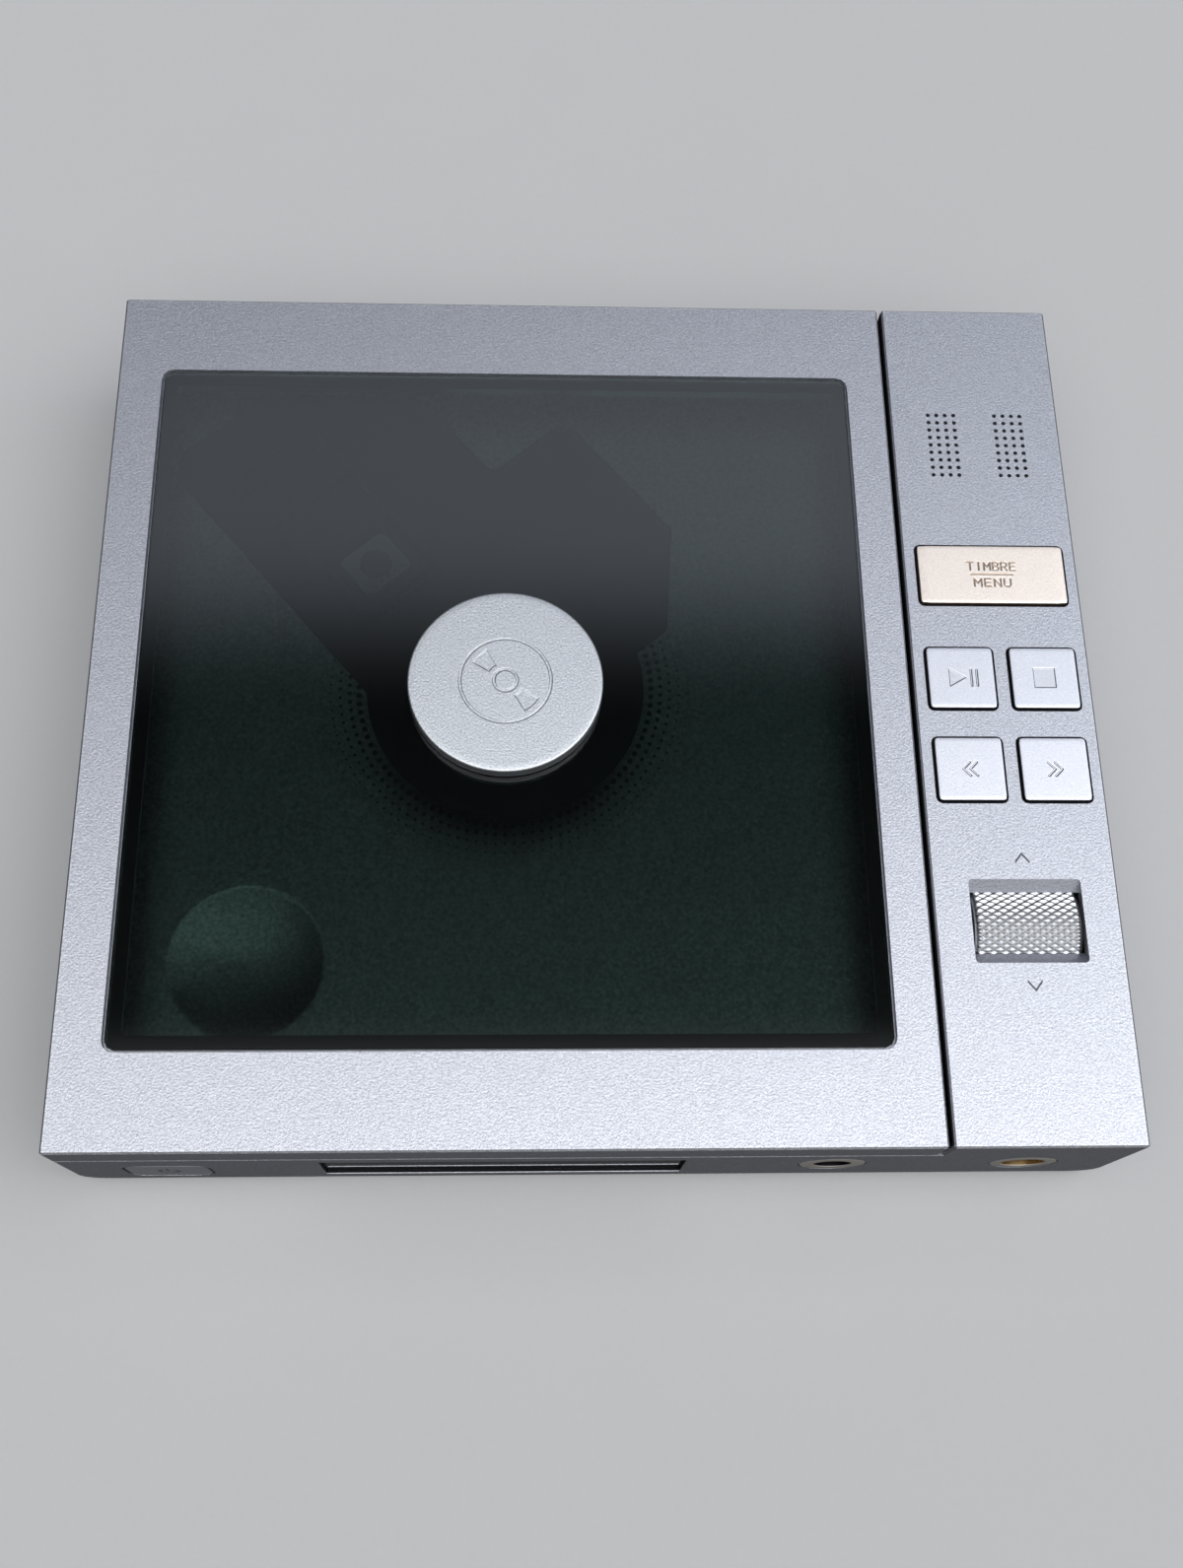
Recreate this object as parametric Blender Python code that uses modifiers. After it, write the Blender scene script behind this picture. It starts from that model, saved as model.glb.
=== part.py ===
"""Flat disc player: smoked-glass lid over a fixed disc well, control column on the right.

Metres, +Z up. The front faces -Y. The origin is on the floor, midway between the sides and between
the front and the back of the body.
"""

import math

import bmesh
import bpy
from mathutils import Matrix, Vector

# Disc, and the square well that it lies in
DISC_DIAMETER = 0.1200
DISC_THICKNESS = 0.0012
DISC_BORE = 0.0150
DISC_CLEARANCE = 0.0025
WELL_CORNER_RADIUS = 0.0060

# Rims of the body round the well, and the slit between the lid and the control column
RIM_LEFT = 0.0052
RIM_RIGHT = 0.00425
RIM_FRONT = 0.0126
RIM_REAR = 0.0124
LID_GAP = 0.0008

# Heights of the body
BODY_HEIGHT = 0.0270
FOOT_PROUD = 0.0012
FOOT_SEAT = 0.0006
FOOT_RADIUS = 0.0055
FOOT_INSET = 0.0170
LOWER_EDGE_RADIUS = 0.0040
EDGE_CHAMFER = 0.0003

# Gaps: between pieces at rest, round a turning shaft, and past a face that a cutter goes through
CLEARANCE = 0.0003
RUNNING_GAP = 0.0002
OVERRUN = 0.0010

# Walls of the body
SIDE_WALL = 0.0015
END_WALL = 0.0022
RIM_WALL = 0.0018
COLUMN_WALL = 0.0012
COLUMN_ROOF = 0.0020
SILL_HEIGHT = 0.0024
COVER_THICKNESS = 0.0015
COVER_INSET_SIDE = 0.0050
COVER_INSET_END = 0.0032
COVER_CORNER_RADIUS = 0.0030

# Screw posts of the body, and the screws of the bottom cover
POST_HALF_WIDTH = 0.0028
POST_DEPTH = 0.0066
POST_FROM_SIDE = 0.0080
SCREW_FROM_END = 0.0058
SCREW_RADIUS = 0.0008
SCREW_HEAD_RADIUS = 0.0017
SCREW_HEAD_HEIGHT = 0.0009
SCREW_LENGTH = 0.0050

# Deck under the disc, with its finger dimple
DECK_THICKNESS = 0.0012
DECK_LAP = 0.0024
DISC_LIFT = 0.0030
DIMPLE_RADIUS = 0.01235
DIMPLE_DEPTH = 0.0032
DIMPLE_ANGLE = math.radians(-133.0)
DIMPLE_WALL = 0.0010

# Cover plate of the disc mechanism, along and across the sled's line through the spindle
SLED_ANGLE = math.radians(130.3)
PLATE_LEFT = 0.0162
PLATE_RIGHT = 0.0275
PLATE_HEEL = 0.0066
PLATE_CORNER_CUT = 0.0036
PLATE_CORNER_RADIUS = 0.0015
PLATE_REAR_MARGIN = 0.0010
PLATE_DROP = 0.0003
PLATE_FLANGE = 0.0014
PLATE_FLANGE_THICKNESS = 0.0010
HUB_OPENING_RADIUS = 0.0160
HUB_ROUND_RADIUS = 0.0190
LENS_SLOT_HALF = 0.0085

# Parts of the disc's diameter that set how far the plate's corners lie from the spindle
PLATE_END_SHARE = 0.6233
PLATE_SHOULDER_SHARE = 0.3050
PLATE_LOBE_SHARE = 0.3717
PLATE_LOBE_START_SHARE = 0.0633
PLATE_HEEL_CORNER_SHARE = 0.2567

# Spindle hub, its shaft and its motor
HUB_RADIUS = 0.0142
HUB_TABLE_THICKNESS = 0.0014
HUB_BOSS_RADIUS = 0.0050
SPIGOT_SLACK = 0.0001
SPIGOT_RISE = 0.0018
SPIGOT_TOP_RADIUS = 0.0056
PAD_INNER_RADIUS = 0.0104
PAD_OUTER_RADIUS = 0.0136
PAD_THICKNESS = 0.0006
PAD_PROUD = 0.0003
CATCH_RADIUS = 0.0010
CATCH_PROUD = 0.0004
CATCH_COUNT = 3
MAGNET_RADIUS = 0.0042
MAGNET_THICKNESS = 0.0010
SHAFT_RADIUS = 0.00075
SPINDLE_MOTOR_RADIUS = 0.0095
SPINDLE_MOTOR_BOSS_RADIUS = 0.0030
SPINDLE_MOTOR_BOSS_HEIGHT = 0.0008

# Mechanism chassis on its dampers, with the guide rods
CHASSIS_HEEL = 0.0140
CHASSIS_FROM_PLATE_END = 0.0053
CHASSIS_LEFT = 0.0190
CHASSIS_BESIDE_MOTOR = 0.0013
CHASSIS_FLOOR = 0.0014
CHASSIS_WALL = 0.0020
CHASSIS_CORNER_RADIUS = 0.0030
CHASSIS_BRIDGE = 0.0120
CHASSIS_FAR_FLOOR = 0.0100
DAMPER_HEIGHT = 0.0013
DAMPER_RADIUS = 0.0030
DAMPER_INSET = 0.0050
ROD_RADIUS = 0.0010
ROD_LEFT = 0.0140
ROD_RIGHT = 0.0165
ROD_POST_HALF = 0.0022
ROD_POST_START = 0.0040
ROD_POST_LENGTH = 0.0040
ROD_SEAT = 0.0012

# Feed screw and feed motor, whose radius grows from its least by a share of the room round it
SCREW_SIDE = 0.0210
FEED_MOTOR_LEAST_RADIUS = 0.0010
FEED_SCREW_RADIUS = 0.0010
FEED_COLLAR_RADIUS = 0.0017
FEED_COLLAR_LENGTH = 0.0010
FEED_MOTOR_LENGTH = 0.0142
FEED_MOTOR_FACE = 0.0028
FEED_MOTOR_SHOULDER_LENGTH = 0.0008

# Pickup sled, lens holder and lens, with the lens where the photograph shows it
LENS_FROM_SPINDLE = 0.0350
SLED_INNER = 0.0100
SLED_OUTER = 0.0090
SLED_PAST_ROD = 0.0020
SLED_EDGE_RADIUS = 0.0006
FORK_HALF = 0.0012
FOLLOWER_THICKNESS = 0.0012
FOLLOWER_HALF = 0.0025
TOWER_HALF_ALONG = 0.0058
TOWER_HALF_ACROSS = 0.0068
TOWER_BELOW_DECK = 0.0007
HOLDER_HALF_ALONG = 0.0043
HOLDER_HALF_ACROSS = 0.0048
HOLDER_THICKNESS = 0.0013
HOLDER_FLOAT = 0.0007
HOLDER_CORNER_RADIUS = 0.0010
LENS_RADIUS = 0.0026
LENS_BULGE = 0.0007
LENS_EDGE = 0.0008

# Lid frame, its window and its hinge
LID_HEIGHT = 0.0072
WINDOW_LAP = 0.0023
WINDOW_RADIUS = 0.0020
LEDGE_WIDTH = 0.0023
LEDGE_THICKNESS = 0.0022
LEDGE_CORNER_RADIUS = 0.0012
GLASS_THICKNESS = 0.0010
GLASS_DROP = 0.0001
GLASS_GAP = 0.00042
HINGE_INSET = 0.0018
HINGE_PIN_RADIUS = 0.0006
HINGE_BARREL_RADIUS = 0.0015
HINGE_BLOCK_WIDTH = 0.0080
HINGE_BLOCK_DROP = 0.0026
HINGE_FOOT_LENGTH = 0.0060
HINGE_FROM_EDGE = 0.0240
HINGE_PIN_REACH = 0.0040
LID_MAGNET_RADIUS = 0.0018
LID_MAGNET_THICKNESS = 0.0018
BODY_MAGNET_THICKNESS = 0.0020

# Puck on the glass, its retainer and the clamp disc under it
PUCK_RADIUS = 0.0159
PUCK_RISE = 0.0025
PUCK_CHAMFER = 0.0003
PUCK_NECK_RADIUS = 0.0080
PUCK_NECK_LENGTH = 0.0022
RETAINER_RADIUS = 0.0130
RETAINER_RIM = 0.0009
RETAINER_THICKNESS = 0.0007
CLAMP_RADIUS = 0.0150
CLAMP_THICKNESS = 0.0017
CLAMP_CHAMFER = 0.0004
CLAMP_RECESS_SLACK = 0.0007
CLAMP_RECESS_DEPTH = 0.0010
CLAMP_STEM_RADIUS = 0.0020
CLAMP_HEAD_RADIUS = 0.0030
CLAMP_HEAD_HEIGHT = 0.0010
CLAMP_HEAD_SLACK = 0.0006

# Keys on the control column
KEY_WIDTH = 0.0113
KEY_LENGTH = 0.0111
KEY_GAP_ACROSS = 0.00264
KEY_MARGIN = 0.00225
KEY_PROUD = 0.00075
KEY_CORNER_RADIUS = 0.0008
KEY_CHAMFER = 0.00025
KEY_FLANGE = 0.0006
KEY_FLANGE_THICKNESS = 0.0010
KEY_STEM_RADIUS = 0.0015
KEY_STEM_LENGTH = 0.0003
KEY_ROW_PITCH = 0.0162
MENU_FROM_UPPER_KEYS = 0.0192
DOME_RADIUS = 0.0020
DOME_HEIGHT = 0.0010
KEY_BOARD_THICKNESS = 0.0010
KEY_BOARD_MARGIN = 0.0010
KEY_POST_RADIUS = 0.0009

# Volume wheel in its sloped opening
WHEEL_FROM_FRONT = 0.0353
WHEEL_WIDTH = 0.0170
WHEEL_CROWN = 0.0003
WHEEL_SIDE_GAP = 0.0005
WHEEL_ROUND_GAP = 0.0004
WHEEL_OPENING = 0.0137
WHEEL_RAMP_LENGTH = 0.00185
WHEEL_RAMP_DROP = 0.0014
WHEEL_OPENING_RADIUS = 0.0007
WHEEL_SHAFT_RADIUS = 0.0012
WHEEL_SHAFT_COVER = 0.0008
WHEEL_CARRIER_GAP = 0.0008
CARRIER_FROM_WALL = 0.0010
WHEEL_CARRIER_HALF = 0.0048
WHEEL_CARRIER_FLOOR = 0.0014
WHEEL_CARRIER_RISE = 0.0036

# Grille over the control column
GRILLE_PITCH = 0.00151
GRILLE_HOLE_RADIUS = 0.00041
GRILLE_COLUMNS = 4
GRILLE_ROWS = 9
GRILLE_BLOCK_GAP = 0.0073
SCREEN_THICKNESS = 0.0005
SCREEN_MARGIN = 0.0014

# Front face: display, power key and two sockets
DISPLAY_WIDTH = 0.0567
DISPLAY_CORNER_RADIUS = 0.0003
DISPLAY_LIP = 0.0003
DISPLAY_REBATE = 0.0010
PANE_THICKNESS = 0.0011
DISPLAY_MODULE_THICKNESS = 0.0030
DISPLAY_MODULE_MARGIN = 0.0008
POWER_KEY_FROM_LEFT = 0.0153
POWER_KEY_WIDTH = 0.0130
POWER_KEY_RADIUS = 0.0025
POWER_SWITCH_WIDTH = 0.0060
POWER_SWITCH_DEPTH = 0.0032
POWER_BUTTON_RADIUS = 0.0015
POWER_BUTTON_LENGTH = 0.0006
POWER_BOARD_WIDTH = 0.0150
POWER_BOARD_THICKNESS = 0.0010
SOCKET_RING_RADIUS = 0.0052
SOCKET_BEVEL = 0.0006
SMALL_SOCKET_FROM_COLUMN = 0.01565
SMALL_SOCKET_MOUTH_RADIUS = 0.0025
SMALL_SOCKET_BORE_RADIUS = 0.0018
SMALL_SOCKET_HALF_WIDTH = 0.0042
SMALL_SOCKET_LENGTH = 0.0130
LARGE_SOCKET_MOUTH_RADIUS = 0.0035
LARGE_SOCKET_BORE_RADIUS = 0.00225
LARGE_SOCKET_HALF_WIDTH = 0.0040
LARGE_SOCKET_LENGTH = 0.0160
SOCKET_BELOW_DECK = 0.0004
SOCKET_END_WALL = 0.0010

# Rear face: charging port and line-out socket
PORT_WIDTH = 0.0090
PORT_HEIGHT = 0.0032
PORT_WALL = 0.00035
PORT_LENGTH = 0.0124
PORT_TONGUE_WIDTH = 0.0066
PORT_TONGUE_THICKNESS = 0.0007
PORT_TONGUE_LENGTH = 0.0048
PORT_FROM_COLUMN = 0.0090
LINE_OUT_FROM_COLUMN = 0.0090
LINE_OUT_NOSE_RADIUS = 0.0030
LINE_OUT_HALF_WIDTH = 0.0040
LINE_OUT_LENGTH = 0.0120

# Main board on its standoffs, and what it carries
BOARD_THICKNESS = 0.0012
STANDOFF_HEIGHT = 0.0022
STANDOFF_RADIUS = 0.0022
BOARD_MARGIN = 0.0025
BOARD_FRONT_DEPTH = 0.0370
BOARD_ARM_FROM_SPINDLE = 0.0393
BOARD_FROM_END = 0.0100
BOARD_PAST_SPINDLE = 0.0010
CHIP_HEIGHT = 0.0014
CAPACITOR_RADIUS = 0.0030

# Chips on the board's rear arm: near left corner and size, and capacitors: centre
CHIP_SHARES = (
    (0.30, 0.36, 0.20, 0.07),
    (0.60, 0.44, 0.14, 0.05),
    (0.26, 0.56, 0.16, 0.06),
    (0.66, 0.62, 0.22, 0.08),
    (0.28, 0.76, 0.14, 0.05),
)
CAPACITOR_SHARES = ((0.62, 0.78), (0.78, 0.78), (0.52, 0.34), (0.52, 0.52))

# Battery in front of the mechanism
BATTERY_FROM_LEFT = 0.0070
BATTERY_FROM_FRONT = 0.0130
BATTERY_BESIDE_SPINDLE = 0.0067
BATTERY_BEFORE_SPINDLE = 0.0291
BATTERY_HEADROOM = 0.0012
BATTERY_EDGE_RADIUS = 0.0015

# Parts of the front wall's height under the rim: how high the front pieces stand, and how tall they are
DISPLAY_CENTRE_SHARE = 0.5593
DISPLAY_HEIGHT_SHARE = 0.7232
POWER_KEY_CENTRE_SHARE = 0.4633
POWER_KEY_HEIGHT_SHARE = 0.5706
POWER_BOARD_SHARE = 0.6780
SOCKET_CENTRE_SHARE = 0.6102

# Parts of the room under the mechanism plate: motors, sled and capacitors
FEED_MOTOR_SHARE = 0.2673
SLED_BELOW_SHARE = 0.6500
SLED_ABOVE_SHARE = 0.4900
SPINDLE_MOTOR_SHARE = 0.7350
FEED_SHOULDER_SHARE = 0.6000
CAPACITOR_SHARE = 0.7700

# Parts of the body's depth and height: places of the keys and the grille, size of the wheel
LOWER_KEYS_SHARE = 0.40467
GRILLE_SHARE = 0.8120
WHEEL_RADIUS_SHARE = 1 / 3

# Fineness of round forms
ARC_STEPS = 3
WHEEL_TURN = 40
FINE_TURN = 24
ROUND_TURN = 18
SMALL_TURN = 10
HOLE_TURN = 6
WELD = 0.000002
FLAT_ANGLE = math.radians(0.2)
BEVEL_ANGLE = math.radians(50.0)
SMOOTH_ANGLE = math.radians(35.0)

# Sizes that follow from the ones above
WELL = DISC_DIAMETER + 2 * DISC_CLEARANCE
LID_WIDTH = RIM_LEFT + WELL + RIM_RIGHT
COLUMN_WIDTH = 2 * (KEY_MARGIN + KEY_WIDTH) + KEY_GAP_ACROSS
COLUMN_LEFT = LID_WIDTH + LID_GAP
BODY_WIDTH = COLUMN_LEFT + COLUMN_WIDTH
BODY_DEPTH = RIM_FRONT + WELL + RIM_REAR
COLUMN_CENTRE = COLUMN_LEFT + COLUMN_WIDTH / 2
SPINDLE = (RIM_LEFT + WELL / 2, RIM_FRONT + WELL / 2)

TOP = FOOT_PROUD + BODY_HEIGHT
LID_BOTTOM = TOP - LID_HEIGHT
RIM_TOP = LID_BOTTOM - CLEARANCE
RIM_UNDERSIDE = RIM_TOP - RIM_WALL
DECK_TOP = RIM_UNDERSIDE - CLEARANCE
DECK_UNDERSIDE = DECK_TOP - DECK_THICKNESS
COVER_TOP = FOOT_PROUD + COVER_THICKNESS
SILL_TOP = FOOT_PROUD + SILL_HEIGHT
ROOF_UNDERSIDE = TOP - COLUMN_ROOF

PLATE_TOP = DECK_TOP - PLATE_DROP
FLANGE_TOP = DECK_UNDERSIDE - CLEARANCE
FLANGE_UNDERSIDE = FLANGE_TOP - PLATE_FLANGE_THICKNESS
DISC_UNDERSIDE = DECK_TOP + DISC_LIFT
HUB_TABLE_TOP = DISC_UNDERSIDE - PAD_PROUD
HUB_TABLE_UNDERSIDE = HUB_TABLE_TOP - HUB_TABLE_THICKNESS
SPIGOT_RADIUS = DISC_BORE / 2 - SPIGOT_SLACK
SPIGOT_TOP = DISC_UNDERSIDE + SPIGOT_RISE

PLATE_END = PLATE_END_SHARE * DISC_DIAMETER
PLATE_SHOULDER = PLATE_SHOULDER_SHARE * DISC_DIAMETER
PLATE_LOBE = PLATE_LOBE_SHARE * DISC_DIAMETER
PLATE_LOBE_START = PLATE_LOBE_START_SHARE * DISC_DIAMETER
PLATE_HEEL_CORNER = PLATE_HEEL_CORNER_SHARE * DISC_DIAMETER
CHASSIS_END = PLATE_END - CHASSIS_FROM_PLATE_END
CHASSIS_UNDERSIDE = COVER_TOP + DAMPER_HEIGHT + 2 * CLEARANCE
CHASSIS_FLOOR_TOP = CHASSIS_UNDERSIDE + CHASSIS_FLOOR
FEED_MOTOR_RADIUS = FEED_MOTOR_LEAST_RADIUS + FEED_MOTOR_SHARE * (FLANGE_UNDERSIDE - CHASSIS_FLOOR_TOP)
CHASSIS_RIGHT = SCREW_SIDE + FEED_MOTOR_RADIUS + CHASSIS_BESIDE_MOTOR + CHASSIS_WALL
ROD_LEVEL = CHASSIS_FLOOR_TOP + FEED_MOTOR_RADIUS + CLEARANCE
ROD_END = CHASSIS_END - CHASSIS_WALL
SLED_UNDERSIDE = ROD_LEVEL - SLED_BELOW_SHARE * (ROD_LEVEL - CHASSIS_FLOOR_TOP)
SLED_TOP = ROD_LEVEL + SLED_ABOVE_SHARE * (FLANGE_UNDERSIDE - ROD_LEVEL)
SPINDLE_MOTOR_FOOT = CHASSIS_FLOOR_TOP + CLEARANCE
SPINDLE_MOTOR_HEIGHT = SPINDLE_MOTOR_SHARE * (FLANGE_UNDERSIDE - SPINDLE_MOTOR_FOOT)
TOWER_TOP = PLATE_TOP - TOWER_BELOW_DECK
HOLDER_UNDERSIDE = TOWER_TOP + HOLDER_FLOAT
HOLDER_TOP = HOLDER_UNDERSIDE + HOLDER_THICKNESS

HINGE_Y = BODY_DEPTH - HINGE_INSET
HINGE_Z = LID_BOTTOM + HINGE_INSET
GLASS_TOP = TOP - GLASS_DROP
GLASS_UNDERSIDE = GLASS_TOP - GLASS_THICKNESS
GLASS_SEAT = GLASS_UNDERSIDE - CLEARANCE
LEDGE_UNDERSIDE = GLASS_SEAT - LEDGE_THICKNESS
WINDOW = WELL - 2 * WINDOW_LAP
WINDOW_INNER = WINDOW - 2 * LEDGE_WIDTH
GLASS = WINDOW - 2 * GLASS_GAP

PUCK_UNDERSIDE = GLASS_TOP + CLEARANCE
PUCK_TOP = TOP + PUCK_RISE
PUCK_NECK_END = PUCK_UNDERSIDE - PUCK_NECK_LENGTH
RETAINER_TOP = PUCK_NECK_END - CLEARANCE
RETAINER_UNDERSIDE = RETAINER_TOP - RETAINER_THICKNESS
CLAMP_UNDERSIDE = DISC_UNDERSIDE + DISC_THICKNESS + CLEARANCE
CLAMP_TOP = CLAMP_UNDERSIDE + CLAMP_THICKNESS
CLAMP_HEAD_UNDERSIDE = RETAINER_TOP + CLEARANCE

KEY_FLANGE_TOP = ROOF_UNDERSIDE - CLEARANCE
KEY_FLANGE_UNDERSIDE = KEY_FLANGE_TOP - KEY_FLANGE_THICKNESS
DOME_TOP = KEY_FLANGE_UNDERSIDE - KEY_STEM_LENGTH - CLEARANCE
KEY_BOARD_TOP = DOME_TOP - DOME_HEIGHT - CLEARANCE
KEY_BOARD_UNDERSIDE = KEY_BOARD_TOP - KEY_BOARD_THICKNESS
KEY_LEFT_X = COLUMN_CENTRE - (KEY_WIDTH + KEY_GAP_ACROSS) / 2
KEY_RIGHT_X = COLUMN_CENTRE + (KEY_WIDTH + KEY_GAP_ACROSS) / 2
LOWER_KEYS_Y = LOWER_KEYS_SHARE * BODY_DEPTH
UPPER_KEYS_Y = LOWER_KEYS_Y + KEY_ROW_PITCH
MENU_Y = UPPER_KEYS_Y + MENU_FROM_UPPER_KEYS
MENU_WIDTH = 2 * KEY_WIDTH + KEY_GAP_ACROSS
GRILLE_Y = GRILLE_SHARE * BODY_DEPTH
GRILLE_BLOCK_WIDTH = GRILLE_PITCH * (GRILLE_COLUMNS - 1)
GRILLE_HEIGHT = GRILLE_PITCH * (GRILLE_ROWS - 1)

BOARD_UNDERSIDE = COVER_TOP + STANDOFF_HEIGHT + CLEARANCE
BOARD_TOP = BOARD_UNDERSIDE + BOARD_THICKNESS
ON_BOARD = BOARD_TOP + CLEARANCE
CAPACITOR_HEIGHT = CAPACITOR_SHARE * (FLANGE_UNDERSIDE - BOARD_TOP)
WHEEL_RADIUS = WHEEL_RADIUS_SHARE * BODY_HEIGHT
WHEEL_Z = TOP + WHEEL_CROWN - WHEEL_RADIUS
CARRIER_FLOOR_TOP = ON_BOARD + WHEEL_CARRIER_FLOOR
CARRIER_INNER = WHEEL_WIDTH / 2 + WHEEL_CARRIER_GAP
BEARING_OUTER = COLUMN_WIDTH / 2 - SIDE_WALL - CARRIER_FROM_WALL
ENCODER_OUTER = COLUMN_WIDTH / 2 - COLUMN_WALL - CARRIER_FROM_WALL
WHEEL_SHAFT_REACH = BEARING_OUTER - WHEEL_SHAFT_COVER
WALL_HEIGHT = RIM_UNDERSIDE - FOOT_PROUD
DISPLAY_Z = FOOT_PROUD + DISPLAY_CENTRE_SHARE * WALL_HEIGHT
DISPLAY_HEIGHT = DISPLAY_HEIGHT_SHARE * WALL_HEIGHT
POWER_KEY_Z = FOOT_PROUD + POWER_KEY_CENTRE_SHARE * WALL_HEIGHT
POWER_KEY_HEIGHT = POWER_KEY_HEIGHT_SHARE * WALL_HEIGHT
POWER_BOARD_HEIGHT = POWER_BOARD_SHARE * WALL_HEIGHT
SOCKET_Z = FOOT_PROUD + SOCKET_CENTRE_SHARE * WALL_HEIGHT
SOCKET_BODY_TOP = DECK_UNDERSIDE - SOCKET_BELOW_DECK
PANE_FRONT = DISPLAY_LIP + CLEARANCE
SMALL_SOCKET_X = COLUMN_LEFT - SMALL_SOCKET_FROM_COLUMN
LARGE_SOCKET_X = COLUMN_CENTRE
PORT_X = COLUMN_LEFT - PORT_FROM_COLUMN
LINE_OUT_X = COLUMN_LEFT + LINE_OUT_FROM_COLUMN
BATTERY_TOP = DECK_TOP - DIMPLE_DEPTH - DIMPLE_WALL - BATTERY_HEADROOM
BATTERY_RIGHT = SPINDLE[0] - BATTERY_BESIDE_SPINDLE
BATTERY_REAR = SPINDLE[1] - BATTERY_BEFORE_SPINDLE

FOOT_NAMES = ("foot_front_left", "foot_rear_left", "foot_front_right", "foot_rear_right")
DAMPER_NAMES = ("damper_heel", "damper_far_left", "damper_far_right")

PARTS = None
TOOLS = None


def clear_scene():
    """Empties the scene and makes the two collections."""
    global PARTS, TOOLS
    for thing in list(bpy.data.objects):
        bpy.data.objects.remove(thing, do_unlink=True)
    PARTS = bpy.data.collections.new("disc_player")
    TOOLS = bpy.data.collections.new("cutters")
    bpy.context.scene.collection.children.link(PARTS)
    bpy.context.scene.collection.children.link(TOOLS)


def at(x, y, z):
    """World place of a point given from the body's left side, its front and the floor."""
    return Vector((x - BODY_WIDTH / 2, y - BODY_DEPTH / 2, z))


# Outlines


def round_corner(before, here, after, radius):
    """Points of the arc that rounds the corner at here between its two neighbours."""
    if radius == 0:
        return [here]
    to_before = (before - here).normalized()
    to_after = (after - here).normalized()
    half = to_before.angle(to_after) / 2
    centre = here + (to_before + to_after).normalized() * (radius / math.sin(half))
    start = here + to_before * (radius / math.tan(half)) - centre
    end = here + to_after * (radius / math.tan(half)) - centre
    first = math.atan2(start.y, start.x)
    sweep = (math.atan2(end.y, end.x) - first + math.pi) % (2 * math.pi) - math.pi
    angles = [first + sweep * step / ARC_STEPS for step in range(ARC_STEPS + 1)]
    return [centre + radius * Vector((math.cos(a), math.sin(a))) for a in angles]


def rounded(corners):
    """Closed outline through corners (x, y, radius), each rounded by its radius."""
    places = [Vector(corner[:2]) for corner in corners]
    outline = []
    for index, corner in enumerate(corners):
        after = places[(index + 1) % len(places)]
        outline += round_corner(places[index - 1], places[index], after, corner[2])
    return outline


def rectangle(width, depth, radius, centre=(0, 0)):
    """Outline of a rectangle with rounded corners."""
    x, y = centre
    signs = [(-1, -1), (1, -1), (1, 1), (-1, 1)]
    return rounded([(x + sx * width / 2, y + sy * depth / 2, radius) for sx, sy in signs])


def bounds(left, front, right, rear, radius):
    """Outline of the rectangle between two corners."""
    return rounded([(left, front, radius), (right, front, radius), (right, rear, radius), (left, rear, radius)])


def circle(radius, steps, centre=(0, 0)):
    """Outline of a circle."""
    turns = [2 * math.pi * step / steps for step in range(steps)]
    return [Vector((centre[0] + radius * math.cos(t), centre[1] + radius * math.sin(t))) for t in turns]


def offset_corners(corners, distance):
    """Corners (x, y, radius) of a counter-clockwise outline, moved outwards by distance."""
    moved = []
    places = [Vector(corner[:2]) for corner in corners]
    for index, corner in enumerate(corners):
        here = places[index]
        along_in = (here - places[index - 1]).normalized()
        along_out = (places[(index + 1) % len(places)] - here).normalized()
        out_in = Vector((along_in.y, -along_in.x))
        out_out = Vector((along_out.y, -along_out.x))
        mitre = (out_in + out_out) / (1 + out_in.dot(out_out))
        turn = along_in.x * along_out.y - along_in.y * along_out.x
        radius = corner[2] + distance if turn > 0 else corner[2] - distance
        moved.append((*(here + mitre * distance), max(radius, 0)))
    return moved


# Solids


def add(name, mesh, helper=False):
    """New object of a mesh, among the parts or the cutters."""
    thing = bpy.data.objects.new(name, mesh)
    (TOOLS if helper else PARTS).objects.link(thing)
    if helper:
        thing.hide_render = True
        thing.display_type = "WIRE"
    return thing


def slab(name, outlines, bottom, top, helper=False):
    """Flat piece between two heights: the first outline is its rim, any others are holes in it."""
    curve = bpy.data.curves.new(name, "CURVE")
    curve.dimensions = "2D"
    curve.fill_mode = "BOTH"
    curve.extrude = (top - bottom) / 2
    for outline in outlines:
        spline = curve.splines.new("POLY")
        spline.points.add(len(outline) - 1)
        for point, (x, y) in zip(spline.points, outline):
            point.co = (x, y, 0, 1)
        spline.use_cyclic_u = True
    flat = bpy.data.objects.new(name, curve)
    PARTS.objects.link(flat)
    graph = bpy.context.evaluated_depsgraph_get()
    mesh = bpy.data.meshes.new_from_object(flat.evaluated_get(graph))
    bpy.data.objects.remove(flat, do_unlink=True)
    work = bmesh.new()
    work.from_mesh(mesh)
    bmesh.ops.remove_doubles(work, verts=work.verts, dist=WELD)
    if len(outlines) == 1:
        bmesh.ops.dissolve_limit(work, angle_limit=FLAT_ANGLE, verts=work.verts, edges=work.edges)
    bmesh.ops.recalc_face_normals(work, faces=work.faces)
    work.to_mesh(mesh)
    work.free()
    mesh.name = name
    solid = add(name, mesh, helper)
    solid.location.z = (bottom + top) / 2
    return solid


def prism_along_x(name, outline, left, right, helper=False):
    """Outline in the YZ plane, carried along X."""
    solid = slab(name, [outline], left, right, helper)
    solid.location = (0, 0, 0)
    turn = Matrix(((0, 0, 1, (left + right) / 2), (1, 0, 0, 0), (0, 1, 0, 0), (0, 0, 0, 1)))
    solid.data.transform(turn)
    return solid


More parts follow.
